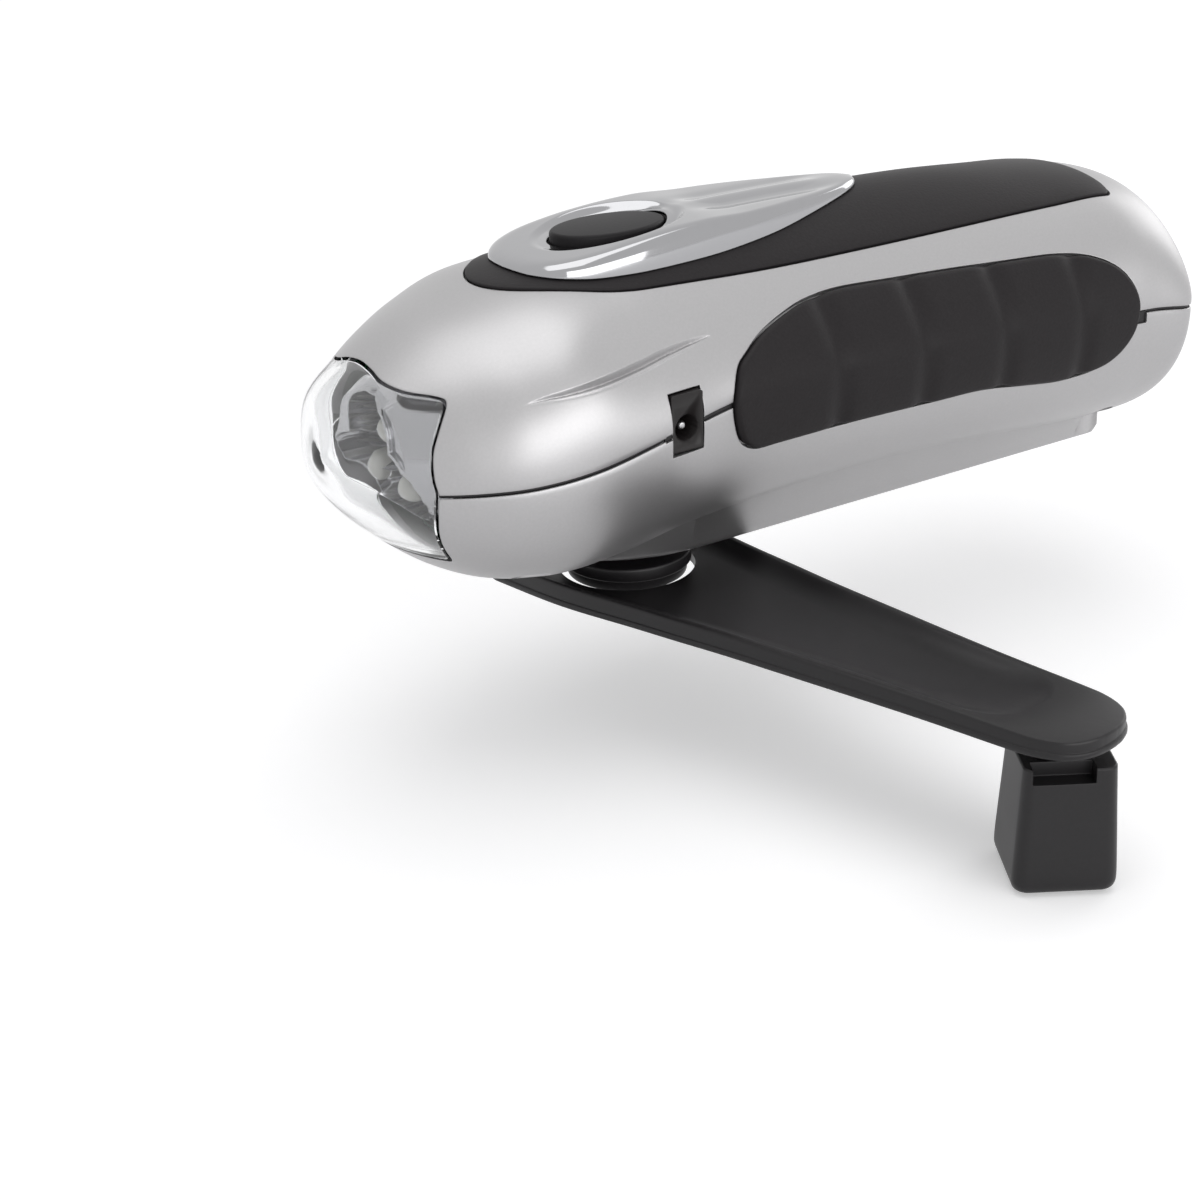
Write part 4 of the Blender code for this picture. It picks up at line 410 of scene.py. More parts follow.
def make_material(name, colour, rough, metal=0.0, grain=900.0, bump=0.05, depth=0.00005, spread=0.06, tint=0.04,
                  edge=0.0002, coat=0.0, **extra):
    """Colour and roughness vary with a fine and a broad noise; edges are eased by a bevel of the normal."""
    m = bpy.data.materials.new(name)
    m.use_nodes = True
    nodes, links = m.node_tree.nodes, m.node_tree.links
    shader = nodes["Principled BSDF"]
    fine, broad = noise(nodes, links, grain, 3.0), noise(nodes, links, 30.0, 5.0)
    ramp = nodes.new("ShaderNodeMapRange")
    ramp.inputs["To Min"].default_value = rough - spread
    ramp.inputs["To Max"].default_value = rough + spread
    links.new(broad.outputs["Fac"], ramp.inputs["Value"])
    links.new(ramp.outputs["Result"], shader.inputs["Roughness"])
    mix = nodes.new("ShaderNodeMix")
    mix.data_type = "RGBA"
    mix.inputs["A"].default_value = (*[c * (1 - tint) for c in colour], 1)
    mix.inputs["B"].default_value = (*[min(1.0, c * (1 + tint)) for c in colour], 1)
    links.new(fine.outputs["Fac"], mix.inputs["Factor"])
    links.new(mix.outputs["Result"], shader.inputs["Base Color"])
    shader.inputs["Metallic"].default_value = metal
    shader.inputs["Coat Weight"].default_value = coat
    shader.inputs["Coat Roughness"].default_value = 0.12
    for key, value in extra.items():
        shader.inputs[key.replace("_", " ")].default_value = value
    relief = nodes.new("ShaderNodeBump")
    relief.inputs["Strength"].default_value = bump
    relief.inputs["Distance"].default_value = depth
    links.new(fine.outputs["Fac"], relief.inputs["Height"])
    if edge:
        ease = nodes.new("ShaderNodeBevel")
        ease.samples = 6
        ease.inputs["Radius"].default_value = edge
        links.new(ease.outputs["Normal"], relief.inputs["Normal"])
    links.new(relief.outputs["Normal"], shader.inputs["Normal"])
    return m


SILVER = make_material("silver_paint", (0.42, 0.415, 0.42), 0.40, 0.85, grain=2600, bump=0.03, tint=0.06, spread=0.03,
                       coat=0.10, Coat_Roughness=0.30)
RUBBER = make_material("black_rubber", (0.016, 0.014, 0.015), 0.52, grain=2200, bump=0.35, depth=0.00008, tint=0.25,
                       spread=0.06, Specular_IOR_Level=0.16)
BUTTON = make_material("button_rubber", (0.011, 0.010, 0.011), 0.48, grain=1800, bump=0.25, depth=0.00006, tint=0.2,
                       Specular_IOR_Level=0.16)
BLACK = make_material("black_plastic", (0.010, 0.009, 0.010), 0.38, grain=1500, bump=0.10, tint=0.2, edge=0.00025,
                      Specular_IOR_Level=0.35)
CHROME = make_material("chrome_plating", (0.37, 0.37, 0.38), 0.09, 1.0, grain=500, bump=0.01, tint=0.02, spread=0.02,
                       edge=0.00015)
MIRROR = make_material("reflector_plating", (0.36, 0.36, 0.37), 0.10, 1.0, grain=300, bump=0.02, tint=0.02,
                       spread=0.03)
STEEL = make_material("steel", (0.50, 0.50, 0.51), 0.28, 1.0, grain=1200, bump=0.05, spread=0.06)
BRASS = make_material("brass", (0.60, 0.44, 0.19), 0.28, 1.0, grain=900, bump=0.05)
COPPER = make_material("copper_wire", (0.58, 0.27, 0.13), 0.34, 1.0, grain=3000, bump=0.4)
NYLON = make_material("white_nylon", (0.76, 0.75, 0.70), 0.44, grain=800, bump=0.05)
GREEN = make_material("green_board", (0.03, 0.15, 0.07), 0.45, grain=600, bump=0.1, tint=0.2)
WRAP = make_material("battery_wrap", (0.05, 0.17, 0.40), 0.34, grain=400, bump=0.04)
MAGNET = make_material("magnet", (0.09, 0.09, 0.10), 0.5, 0.4, grain=1500, bump=0.2)
SOCKET = make_material("socket_plastic", (0.014, 0.012, 0.012), 0.42, grain=1500, bump=0.1, Specular_IOR_Level=0.3)
CLEAR = make_material("clear_plastic", (0.97, 0.975, 0.98), 0.03, 0.0, grain=80, bump=0.0, spread=0.015, tint=0.01,
                      edge=0.0, Transmission_Weight=1.0, IOR=1.49)
LAMP = make_material("lamp_epoxy", (0.80, 0.80, 0.76), 0.10, 0.0, grain=200, bump=0.0, spread=0.03, tint=0.03,
                     edge=0.0, Transmission_Weight=0.45, IOR=1.5)


def dress(thing, material, body, *nodes, slot=None):
    """Material, body and replaced nodes of a piece; the slot argument is not used."""
    thing.data.materials.clear()
    thing.data.materials.append(material)
    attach(thing, body)
    if nodes:
        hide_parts(*nodes)
    return thing


# Outlines as shares of their lengths and widths, the same as in the part's source
LENS_SHARES = ((0.00, 1.00), (0.20, 0.96), (0.38, 0.87), (0.60, 0.785), (0.80, 0.745), (0.885, 0.66), (0.93, 0.36),
               (0.95, 0.00), (0.98, -0.20), (1.00, -0.34), (0.97, -0.54), (0.87, -0.80), (0.78, -0.98), (0.66, -1.00),
               (0.34, -0.99), (0.00, -0.99))
GRIP_SHARES = ((0.00, 0.00), (0.020, 0.40), (0.055, 0.58), (0.10, 0.74), (0.16, 0.87), (0.22, 0.96), (0.30, 1.00),
               (0.42, 0.97), (0.56, 0.93), (0.70, 0.88), (0.83, 0.83), (0.91, 0.71), (0.965, 0.48), (0.997, 0.10),
               (1.00, -0.25), (0.985, -0.55), (0.95, -0.82), (0.90, -0.96), (0.81, -1.00), (0.71, -0.91),
               (0.60, -0.80), (0.48, -0.79), (0.30, -0.77), (0.12, -0.78), (0.055, -0.76), (0.015, -0.52))
BEZEL_SHARES = ((0.000, 0.00), (0.004, 0.24), (0.016, 0.48), (0.044, 0.70), (0.080, 0.84), (0.13, 0.94), (0.20, 0.99),
                (0.28, 1.00), (0.42, 0.96), (0.54, 0.89), (0.67, 0.78), (0.79, 0.62), (0.89, 0.45), (0.95, 0.31),
                (0.985, 0.16), (1.000, 0.00))
ARM_SHARES = ((0.000, 0.80), (0.006, 0.92), (0.020, 0.985), (0.050, 1.00), (0.17, 1.00), (0.30, 0.90), (0.37, 0.85),
              (0.46, 0.78), (0.58, 0.71), (0.76, 0.61), (0.90, 0.56), (0.940, 0.53), (0.970, 0.45), (0.988, 0.33),
              (0.997, 0.19), (1.000, 0.06))


def lens_outline(grow):
    half = [(a * (LENS_HALF_WIDTH + grow), SEAM_HEIGHT + u * ((LENS_TOP if u > 0 else LENS_BOTTOM) + grow))
            for a, u in LENS_SHARES]
    return resample(smooth_loop(half + [(-y, z) for y, z in half[-2:0:-1]], 4), 0.7)


def trim_outline(grow):
    half = []
    width, nose, tail = TRIM_HALF_WIDTH + grow, TRIM_NOSE + grow, TRIM_BACK + grow
    for k in range(41):
        a = math.pi / 2 * k / 40
        half.append((TRIM_FRONT - grow + nose * (1 - math.cos(a)), width * math.sin(a)))
    for k in range(9):
        a = math.pi / 2 * k / 8
        half.append((tail + TRIM_CORNER * (math.sin(a) - 1), width + TRIM_CORNER * (math.cos(a) - 1)))
    for k in range(1, 12):
        y = (width - TRIM_CORNER) * (1 - k / 12)
        half.append((tail + TRIM_BOW * (1 - (y / width) ** 2), y))
    half.append((tail + TRIM_BOW, 0.0))
    return resample(half + [(x, -y) for x, y in half[-2:0:-1]], 0.8)


def grip_outline(grow):
    pts = [(GRIP_FRONT - grow + a * (GRIP_LENGTH + 2 * grow),
            SEAM_HEIGHT + u * ((GRIP_RISE if u > 0 else GRIP_DROP) + grow)) for a, u in GRIP_SHARES]
    return resample(smooth_loop(pts, 6), 0.7)


def bezel_outline():
    half = [(BEZEL_FRONT + a * BEZEL_LENGTH, c * BEZEL_HALF_WIDTH) for a, c in BEZEL_SHARES]
    half = [tuple(r) for r in catmull_table(half, 6)]
    return half + [(x, -y) for x, y in half[-2:0:-1]]


def ellipse(a, b, steps, x):
    return [(x + a * math.cos(2 * math.pi * k / steps), b * math.sin(2 * math.pi * k / steps)) for k in range(steps)]


def button_hole():
    return prism("tool", ellipse(BUTTON_A + BUTTON_FIT, BUTTON_B + BUTTON_FIT, 64, BUTTON_X), 38.0, 60.0)


def rounded(radius, top, steps):
    """Inset and height of a rounded edge up to its top."""
    turns = [math.pi / 2 * k / steps for k in range(steps + 1)]
    return [(radius * (1 - math.cos(a)), top - radius + radius * math.sin(a)) for a in turns]


# The styling line of the flank: x, y, z and how strong it is there
CREASE = ((-67.3, 21.3, 34.0, 0.05), (-63.6, 22.8, 34.7, 0.45), (-61.0, 23.7, 35.0, 0.66), (-57.3, 24.3, 35.4, 0.86),
          (-53.0, 24.0, 35.8, 0.98), (-48.1, 23.0, 36.2, 1.00), (-43.2, 22.0, 36.8, 0.90), (-38.2, 21.1, 37.2, 0.62),
          (-34.2, 20.5, 37.4, 0.10))
CREASE_REACH = 1.9


def crease_depth(p, path):
    """Distance to the styling line, and how deep it is pressed in: a broad upper slope and a narrow lower one."""
    q = p * np.array([1, 0, 1]) + np.abs(p) * np.array([0, 1, 0])
    gap = np.linalg.norm(q[:, None] - path[None, :, :3], axis=2)
    at = gap.argmin(1)
    best = gap[np.arange(len(q)), at]
    s = best * np.sign(q[:, 2] - path[at, 2])
    wide = path[at, 3]
    upper, lower = np.maximum(1.05 * wide, 0.1), np.maximum(0.42 * wide, 0.1)
    share = np.clip(np.where(s > 0, 1 - s / upper, 1 + s / lower), 0, 1)
    second = 0.12 * wide * np.exp(-((s + lower + 0.36 * wide) / 0.13) ** 2)
    return best, 0.90 * wide * share * (1.3 - 0.3 * share) + second


def near_crease(bm):
    """Numbers and places of the shell's corners near the styling line."""
    bm.verts.ensure_lookup_table()
    where = np.array([v.co[:] for v in bm.verts]) / MM
    x, z = where[:, 0], where[:, 2]
    near = np.flatnonzero((x > -71) & (x < -31) & (z > 30) & (z < 41))
    return near, where[near]


def press_crease(shell):
    """Both flanks get finer faces round the styling line, which is then pressed in."""
    path = catmull_table(CREASE, 14)
    bm = bmesh.new()
    bm.from_mesh(shell.data)
    for reach, cuts in ((CREASE_REACH + 0.7, 2), (CREASE_REACH, 1)):
        near, where = near_crease(bm)
        close = set(near[crease_depth(where, path)[0] < reach].tolist())
        edges = [e for e in bm.edges if e.verts[0].index in close and e.verts[1].index in close]
        bmesh.ops.subdivide_edges(bm, edges=edges, cuts=cuts, use_grid_fill=True)
        bm.verts.index_update()
    bm.normal_update()
    near, where = near_crease(bm)
    best, depth = crease_depth(where, path)
    for i, d, far in zip(near.tolist(), depth, best):
        if far < CREASE_REACH:
            bm.verts[i].co -= bm.verts[i].normal * float(d) * MM
    bm.to_mesh(shell.data)
    bm.free()


def half_shell(name, upper):
    """One half of the body as a fine surface with a wall."""
    table = real_rows(catmull_table(STATIONS, 14))[1:-1]
    t = np.linspace(0, 1, 55)
    bm = bmesh.new()
    rings = []
    sign = 1.0 if upper else -1.0
    for x, w, s, rise, drop, k1u, k2u, k1l, k2l in table:
        h, k1, k2 = (rise, k1u, k2u) if upper else (drop, k1l, k2l)
        h = h - SEAM_GAP / 2
        lip = h * LIP_SHARE
        y, z = quarter(t, w, lip, h, k1, k2)
        soft = min(0.28, w * 0.4)
        y = np.concatenate([[w - soft, w - soft * 0.3, w - soft * 0.05], y])
        z = np.concatenate([[0.0, soft * 0.3, min(soft, lip * 0.8)], z])
        yy = np.concatenate([-y, y[-2::-1]])
        zz = s + sign * (SEAM_GAP / 2 + np.concatenate([z, z[-2::-1]]))
        p = np.stack([np.full(len(yy), x), yy, zz], 1)
        rings.append([bm.verts.new(v) for v in p])
    ends = [bm.verts.new((TABLE[i, 0], 0.0, TABLE[i, 2] + sign * SEAM_GAP / 2)) for i in (0, -1)]
    for a, b in zip(rings, rings[1:]):
        for i in range(len(a) - 1):
            bm.faces.new([a[i], a[i + 1], b[i + 1], b[i]])
    for tip, ring in ((ends[0], rings[0]), (ends[1], rings[-1])):
        for i in range(len(ring) - 1):
            bm.faces.new([tip, ring[i], ring[i + 1]])
    shell = finish_mesh(bm, name)
    big = max(shell.data.polygons, key=lambda f: f.area * abs(f.normal.z))
    if (big.normal.z > 0) != upper:
        shell.data.flip_normals()
    wall = shell.modifiers.new("wall", "SOLIDIFY")
    wall.thickness, wall.offset = WALL * MM, -1.0
    return apply(shell)


def recess(outline, surface):
    """What is cut from the shell under an inlay."""
    return patch("tool", outline, surface, [(0.0, 3.0)], 1.2, 1.6)


def box_tool(low, high):
    bm = bmesh.new()
    bmesh.ops.create_cube(bm, size=1.0)
    for v in bm.verts:
        v.co = Vector([low[i] + (v.co[i] + 0.5) * (high[i] - low[i]) for i in range(3)])
    return finish_mesh(bm, "tool", smooth=False)


def cylinder_tool(centre, radius, low, high, axis="Z", steps=48):
    return lathe("tool", ((0, low), (radius, low), (radius, high), (0, high)), centre, steps, axis)


# Along the keel: share of its length, then shares of its underside's height, both half widths and its top
KEEL_STATIONS = ((0.00, 0.40, 0.36, 0.55, 0.72), (0.09, 0.16, 0.68, 0.75, 0.86), (0.18, 0.03, 0.91, 0.86, 0.91),
                 (0.27, 0.00, 1.00, 0.91, 0.95), (0.53, 0.00, 1.00, 1.00, 1.00), (0.93, 0.00, 1.00, 1.00, 1.00),
                 (1.00, 0.00, 1.00, 0.97, 0.97))


def keel():
    rows = catmull_table(KEEL_STATIONS, 8)
    bm = bmesh.new()
    rings = []
    r = 1.4
    for a, bottom, low, high, top in rows:
        x, lo, hi = KEEL_FRONT + a * KEEL_LENGTH, low * KEEL_HALF_WIDTH, high * KEEL_TOP_HALF_WIDTH
        zb, zt = max(bottom, 0) * KEEL_TOP, top * KEEL_TOP
        slope = math.hypot(hi - lo, zt - zb)
        ux, uz = (hi - lo) / slope * r, (zt - zb) / slope * r
        half = [(lo - r, zb), (lo - r * 0.35, zb + 0.08), (lo + ux * 0.35, zb + uz * 0.35 + 0.12),
                (lo + ux, zb + uz), (hi, zt)]
        ring = [(-y, z) for y, z in half[::-1]] + half
        rings.append([bm.verts.new((x, y, z)) for y, z in ring])
    bm.faces.new(rings[0][::-1])
    bm.faces.new(rings[-1])
    skin(bm, rings)
    return finish_mesh(bm, "keel_form")


def build_shells():
    upper, lower = half_shell("shell_upper", True), half_shell("shell_lower", False)
    cut(lower, keel(), "UNION")
    side = {-1: on_side(-1.0), 1: on_side(1.0)}
    cut(upper, recess(trim_outline(GAP), on_top))
    cut(upper, button_hole())
    for shell in (upper, lower):
        for sign in (-1, 1):
            cut(shell, recess(grip_outline(GAP), side[sign]))
        cut(shell, prism("tool", lens_outline(GAP), -95.0, -72.0, lambda u, v, w: (w, u, v)))
        cut(shell, box_tool((JACK_SIDES[0] - GAP, -32.0, JACK_ENDS[0] - GAP),
                            (JACK_SIDES[1] + GAP, -10.0, JACK_ENDS[1] + GAP)))
    for x in CASE_SCREW_X:
        for y in CASE_SCREW_Y:
            cut(lower, cylinder_tool((x, y, 0), 3.0, -4.0, 9.0))
    cut(lower, cylinder_tool((HUB_X, 0, 0), 4.5, -4.0, 12.0))
    for shell in (upper, lower):
        for sign, outline in tabs():
            cut(shell, patch("tool", outline, side[sign], [(0.0, 1.0)], 0.8, 0.6))
    press_crease(upper)
    for shell, node in ((upper, "upper_shell"), (lower, "lower_shell")):
        shade(shell.data)
        dress(shell, SILVER, "housing", node, slot="silver_paint")


# Small dark tabs in the seam, at both ends of each grip and beside the socket: side, x from and to, z from and to
TABS = ((-1, 46.8, 48.9, -1.9, 0.1), (1, 46.8, 48.9, -1.9, 0.1), (-1, -39.5, -33.9, -0.42, 0.42),
        (1, -35.3, -33.9, -0.8, 0.8), (-1, -46.8, -45.6, -0.5, 0.5))


def tabs():
    """Side and outline of each tab, which follows the seam."""
    out = []
    for sign, x0, x1, low, high in TABS:
        a, b = (float(np.interp(x, TABLE[:, 0], TABLE[:, 2])) for x in (x0, x1))
        out.append((sign, resample([(x0, a + low), (x1, b + low), (x1, b + high), (x0, a + high)], 0.4)))
    return out


def build_seam():
    """A black tongue in the seam, partly a real tongue and partly painted shade: its darkness stands in for the
    seam's shadow. Also the tabs.
    """
    rows = TABLE[TABLE[:, 0] > -81.0][::24]
    rows = np.vstack([rows, TABLE[-1:]])
    loop = [(r[0], -r[1]) for r in rows] + [(r[0], r[1]) for r in rows[-2::-1]]
    level = [r[2] for r in rows] + [r[2] for r in rows[-2::-1]]
    outer, inner, half = inset(loop, 0.40), inset(loop, 1.5), 0.22
    bm = bmesh.new()
    last = None
    for i, (x, y) in enumerate(loop):
        # The lens, the grips and, on the near side, the socket take its place
        shown = x > -78.3 and not (-34.5 < x < 47.5) and not (y < 0 and -46.2 < x < -39.0)
        if not shown:
            if last:
                bm.faces.new(last[::-1])
            last = None
            continue
        ring = [bm.verts.new((a[0], a[1], level[i] + h)) for a, h in
                ((outer[i], -half), (outer[i], half), (inner[i], half), (inner[i], -half))]
        if last:
            for k in range(4):
                bm.faces.new([last[k], last[(k + 1) % 4], ring[(k + 1) % 4], ring[k]])
        else:
            bm.faces.new(ring)
        last = ring
    # Painted shade: this black strip darkens the seam gap in place of the shadow that would fall there.
    dress(finish_mesh(bm, "seam_shade_tongue", smooth=False), BLACK, "housing", slot="black_plastic")
    for k, (sign, outline) in enumerate(tabs()):
        outline = [tuple(p) for p in inset(outline, 0.02)]
        tab = patch(f"seam_tab_{k + 1}", outline, on_side(float(sign)), [(0.0, -0.35)], 0.7, 0.6)
        dress(tab, BLACK, "housing", slot="black_plastic")


def groove_depth(p):
    """The soft grooves across the grip."""
    d = np.zeros(len(p))
    for k in range(GROOVES):
        x = GROOVE_FIRST + GROOVE_PITCH * k
        d = d - 0.55 * np.exp(-((p[:, 0] - x) / 1.7) ** 2)
    return d


def bezel_slot():
    """A slot in the rubber round the bezel, wider towards its rear tip."""
    outline = resample(bezel_outline(), 0.8)
    area = sum(a[0] * b[1] - b[0] * a[1] for a, b in zip(outline, [*outline[1:], outline[0]]))
    turn = 1.0 if area > 0 else -1.0
    grown = []
    for i, (x, y) in enumerate(outline):
        before, after = outline[i - 1], outline[(i + 1) % len(outline)]
        dx, dy = after[0] - before[0], after[1] - before[1]
        reach = turn * (0.28 + 0.45 * float(ease((x + 35.0) / 30.0))) / math.hypot(dx, dy)
        grown.append((x + dy * reach, y - dx * reach))
    slot = prism("tool_slot", grown, 38.0, 60.0)
    cut(slot, prism("tool", [tuple(p) for p in inset(outline, 1.2)], 30.0, 70.0))
    return slot


def build_inlays():
    lens = patch("nose_lens", lens_outline(0.0), on_front, [(0.0, -0.15), (0.15, 0.0)], 1.8, 0.9)
    dress(lens, CLEAR, "housing", "lens", slot="clear_plastic")
    trim = patch("top_inlay", trim_outline(0.0), on_top, [(0.0, 0.0)] + rounded(0.25, 0.3, 3), 0.9, 1.2)
    cut(trim, button_hole())
    cut(trim, bezel_slot())
    dress(trim, RUBBER, "housing", "top_trim", slot="black_rubber")
    for sign, node in ((-1, "grip_left"), (1, "grip_right")):
        rings = [(0.0, 0.0)] + rounded(0.75, 0.8, 5)
        grip = patch("flank_" + node, grip_outline(0.0), on_side(float(sign)), rings, 0.9, 0.9, groove_depth)
        dress(grip, RUBBER, "housing", node, slot="black_rubber")


def ease(t):
    """A soft step from 0 to 1."""
    t = np.clip(t, 0, 1)
    return t * t * (3 - 2 * t)


def bezel_height(p, d_out, d_in):
    """Height of the chrome over its plan: a full outer flank, a flat ring round the button and a ridge behind it."""
    x, y = p[:, 0], p[:, 1]
    rubber = top_z(x, y) + 0.6
    behind = ease((x + 27.5) / 9.0) * ease((8.4 - x) / 14.0)
    crest = top_z(x, 0 * x) + 1.38 - 0.42 * behind
    bulge = (1 - (1 - np.clip(d_out / 3.4, 0, 1)) ** 2.8) ** (1 / 2.8)
    body = rubber + (np.maximum(crest, rubber + 0.55) - rubber) * bulge
    body = body + behind * (0.24 * np.exp(-(y / 1.5) ** 2) - 0.28 * np.exp(-((abs(y) - 3.4) / 1.5) ** 2) * bulge)
    body = body - 0.25 * np.exp(-((x + 26.4) / 1.8) ** 2 - ((y - 2.0) / 2.0) ** 2)
    ring = np.maximum(49.1 + (x - BUTTON_X) * 0.06, rubber + 0.30)
    return ring + (body - ring) * ease((d_in - 1.3) / 1.5)


def build_bezel():
    outline = bezel_outline()
    a, b = BUTTON_A + BUTTON_FIT, BUTTON_B + BUTTON_FIT
    opening = []
    for x, y in outline:
        dx = x - BUTTON_X
        s = 1 / math.hypot(dx / a, y / b)
        opening.append((BUTTON_X + dx * s, y * s))
    rim, hole = np.array(outline), np.array(opening)
    span = np.hypot(*(hole - rim).T)
    bm = bmesh.new()
    rings = []
    edge = 0.12
    outer, middle, inner = np.linspace(0, 0.3, 22), np.linspace(0.32, 0.8, 26), np.linspace(0.815, 0.99, 16)
    for s in [*outer, *middle, *inner, 1.0]:
        p = rim + (hole - rim) * s
        z = bezel_height(p, span * s, span * (1 - s))
        z = z - edge * (1 - np.clip(span * (1 - s) / edge, 0, 1))
        rings.append([bm.verts.new((u, v, h)) for (u, v), h in zip(p, z)])
    for s in (1.0, 0.5, 0.0):
        p = rim + (hole - rim) * s
        z = top_z(p[:, 0], p[:, 1]) + 0.55
        rings.append([bm.verts.new((u, v, h)) for (u, v), h in zip(p, z)])
    skin(bm, rings + rings[:1])
    dress(finish_mesh(bm, "bezel_ring", angle=40), CHROME, "housing", "button_bezel", slot="chrome")


def build_button():
    bm = bmesh.new()
    rings, steps = [], 72
    # How far it reaches past its top's outline, and height
    rows = [(1.2, 42.4), (1.2, 43.6), (0.0, 43.6), (0.0, 49.5)]
    rows += [(-0.6 * (1 - math.cos(a)), 49.5 + 0.55 * math.sin(a)) for a in np.linspace(0.2, math.pi / 2, 7)]
    for grow, z in rows:
        rings.append([bm.verts.new((x, y, z)) for x, y in ellipse(BUTTON_A + grow, BUTTON_B + grow, steps, BUTTON_X)])
    for share in (0.86, 0.7, 0.5, 0.3, 0.12):
        z = 50.05 + 0.25 * (1 - share ** 2)
        rings.append([bm.verts.new((BUTTON_X + (x - BUTTON_X) * share, y * share, z))
                      for x, y in ellipse(BUTTON_A - 0.6, BUTTON_B - 0.6, steps, BUTTON_X)])
    bm.faces.new(rings[0][::-1])
    bm.faces.new(rings[-1])
    skin(bm, rings)
    dress(finish_mesh(bm, "button_top", angle=50), BUTTON, "button", "button_cap", slot="black_rubber")


def build_jack():
    out = []
    (x0, x1), (z0, z1), r = JACK_SIDES, JACK_ENDS, 0.35
    for cx, cz, start in ((x1 - r, z0 + r, -90), (x1 - r, z1 - r, 0), (x0 + r, z1 - r, 90), (x0 + r, z0 + r, 180)):
        for k in range(5):
            a = math.radians(start + 90 * k / 4)
            out.append((cx + r * math.cos(a), cz + r * math.sin(a)))
    centre = (JACK_X, 0, JACK_Z)
    block = prism("socket_block", out, JACK_FACE, JACK_BACK, lambda u, v, w: (u, w, v))
    cut(block, cylinder_tool(centre, JACK_BORE, -30.0, -17.8, "Y"))
    mouth = ((0, -27.0), (2.15, -27.0), (2.15, -25.75), (1.85, -25.5), (0, -25.5))
    cut(block, lathe("tool", mouth, centre, 48, "Y"))
    dress(block, SOCKET, "housing", "charge_jack", slot="black_plastic")
    shape = ((0, -18.1), (0.65, -18.1), (0.65, -24.3), (0.45, -24.6), (0, -24.7))
    pin = lathe("socket_pin", shape, centre, 32, "Y")
    dress(pin, STEEL, "housing", "jack_pin", slot="steel")


def bowl_tool(y, z):
    """What is hollowed out round a lamp: a bowl with shallow flutes."""
    bm = bmesh.new()
    steps, levels = 96, 14
    sections = [(CUP_FLOOR + 0.4, CUP_FLOOR_RADIUS, 0.0), (CUP_FLOOR, CUP_FLOOR_RADIUS, 0.0)]
    for k in range(1, levels + 1):
        share = k / levels
        radius = CUP_FLOOR_RADIUS + (CUP_RADIUS - CUP_FLOOR_RADIUS) * share ** 0.6
        wave = 0.26 * math.sin(math.pi * k / (levels + 1))
        sections.append((CUP_FLOOR + (CUP_MOUTH - CUP_FLOOR) * share, radius, wave))
    sections.append((CUP_MOUTH - 0.8, CUP_RADIUS + 0.05, 0.0))
    rings = []
    for x, radius, wave in sections:
        ring = []
        for i in range(steps):
            a = 2 * math.pi * i / steps
            r = radius + wave * abs(math.sin(a * FLUTES / 2))
            ring.append(bm.verts.new((x, y + r * math.cos(a), z + r * math.sin(a))))
        rings.append(ring)
    bm.faces.new(rings[0])
    bm.faces.new(rings[-1])
    skin(bm, rings)
    return finish_mesh(bm, "tool")


def build_lamps():
    slab = body_core(3.6)
    cut(slab, box_tool((-79.5, -40.0, 0.0), (CUP_FLOOR, 40.0, 60.0)), "INTERSECT")
    face = box_tool((-81.0, -40.0, 0.0), (-79.0, 40.0, 60.0))
    for _, y, z in LAMPS:
        cut(face, cylinder_tool((0, y, z), 6.4, -82.0, -78.0, "X"))
    cut(slab, face)
    for name, y, z in LAMPS:
        cut(slab, bowl_tool(y, z))
        dome = [(0, CUP_FLOOR), (2.75, CUP_FLOOR), (2.75, -71.3), (2.6, -71.5), (2.2, -71.6), (2.2, -75.5)]
        dome += [(2.2 * math.cos(a), -75.5 - 2.3 * math.sin(a)) for a in np.linspace(0.15, math.pi / 2, 10)]
        lamp = lathe("lamp_" + name, dome, (0, y, z), 40, "X")
        dress(lamp, LAMP, "housing", name, slot="clear_plastic")
    slab.name = "reflector_bowls"
    shade(slab.data, 30)
    dress(slab, MIRROR, "housing", "reflector", slot="chrome")


def body_core(inset_by):
    """The body's form drawn in by an even distance."""
    table = real_rows(catmull_table(STATIONS, 6))[1:-1]
    t = np.linspace(0, 1, 25)
    scale = (BODY_LENGTH - 2 * inset_by) / BODY_LENGTH
    middle = BODY_FRONT + BODY_LENGTH / 2
    bm = bmesh.new()
    rings = []
    for x, w, s, rise, drop, k1u, k2u, k1l, k2l in table:
        half = []
        for h, k1, k2, sign in ((rise, k1u, k2u, 1), (drop, k1l, k2l, -1)):
            y, up = quarter(t, max(w - inset_by, 0.05), LIP_SHARE, 1, k1, k2)
            half.append((y, s + sign * max(h - inset_by, 0.05) * up))
        (yu, zu), (yl, zl) = half
        loop = [*zip(-yu, zu), *zip(yu[-2::-1], zu[-2::-1]), *zip(yl, zl), *zip(-yl[-2::-1], zl[-2::-1])]
        rings.append([bm.verts.new((middle + (x - middle) * scale, y, z)) for y, z in loop])
    skin(bm, rings)
    bm.faces.new(rings[0])
    bm.faces.new(rings[-1])
    return finish_mesh(bm, "core")


def in_crank(thing):
    """A piece of the crank, from the hub's axes to the body's."""
    thing.data.transform(CRANK)
    return thing


def pin_tool(radius, low, high, steps):
    return cylinder_tool((-PIN, 0, PIN_HEIGHT), radius, low, high, "Y", steps)


def arm_outline(drawn_in, tip=ARM_TIP):
    """The arm in plan, drawn in by an inset; always the same number of points."""
    root, end = ARM_ROOT + drawn_in, tip - drawn_in
    half = [(root + a * (end - root), c * ARM_HALF_WIDTH - drawn_in * min(1.0, c / 0.5)) for a, c in ARM_SHARES]
    rows = [tuple(r) for r in catmull_table(half, 7)]
    return rows + [(x, -y) for x, y in rows[::-1]]


def underside(u):
    """Height of the arm's underside, which rises by 1 mm to its tip."""
    return ARM_BOTTOM + (u - ARM_ROOT) / (ARM_TIP - ARM_ROOT)


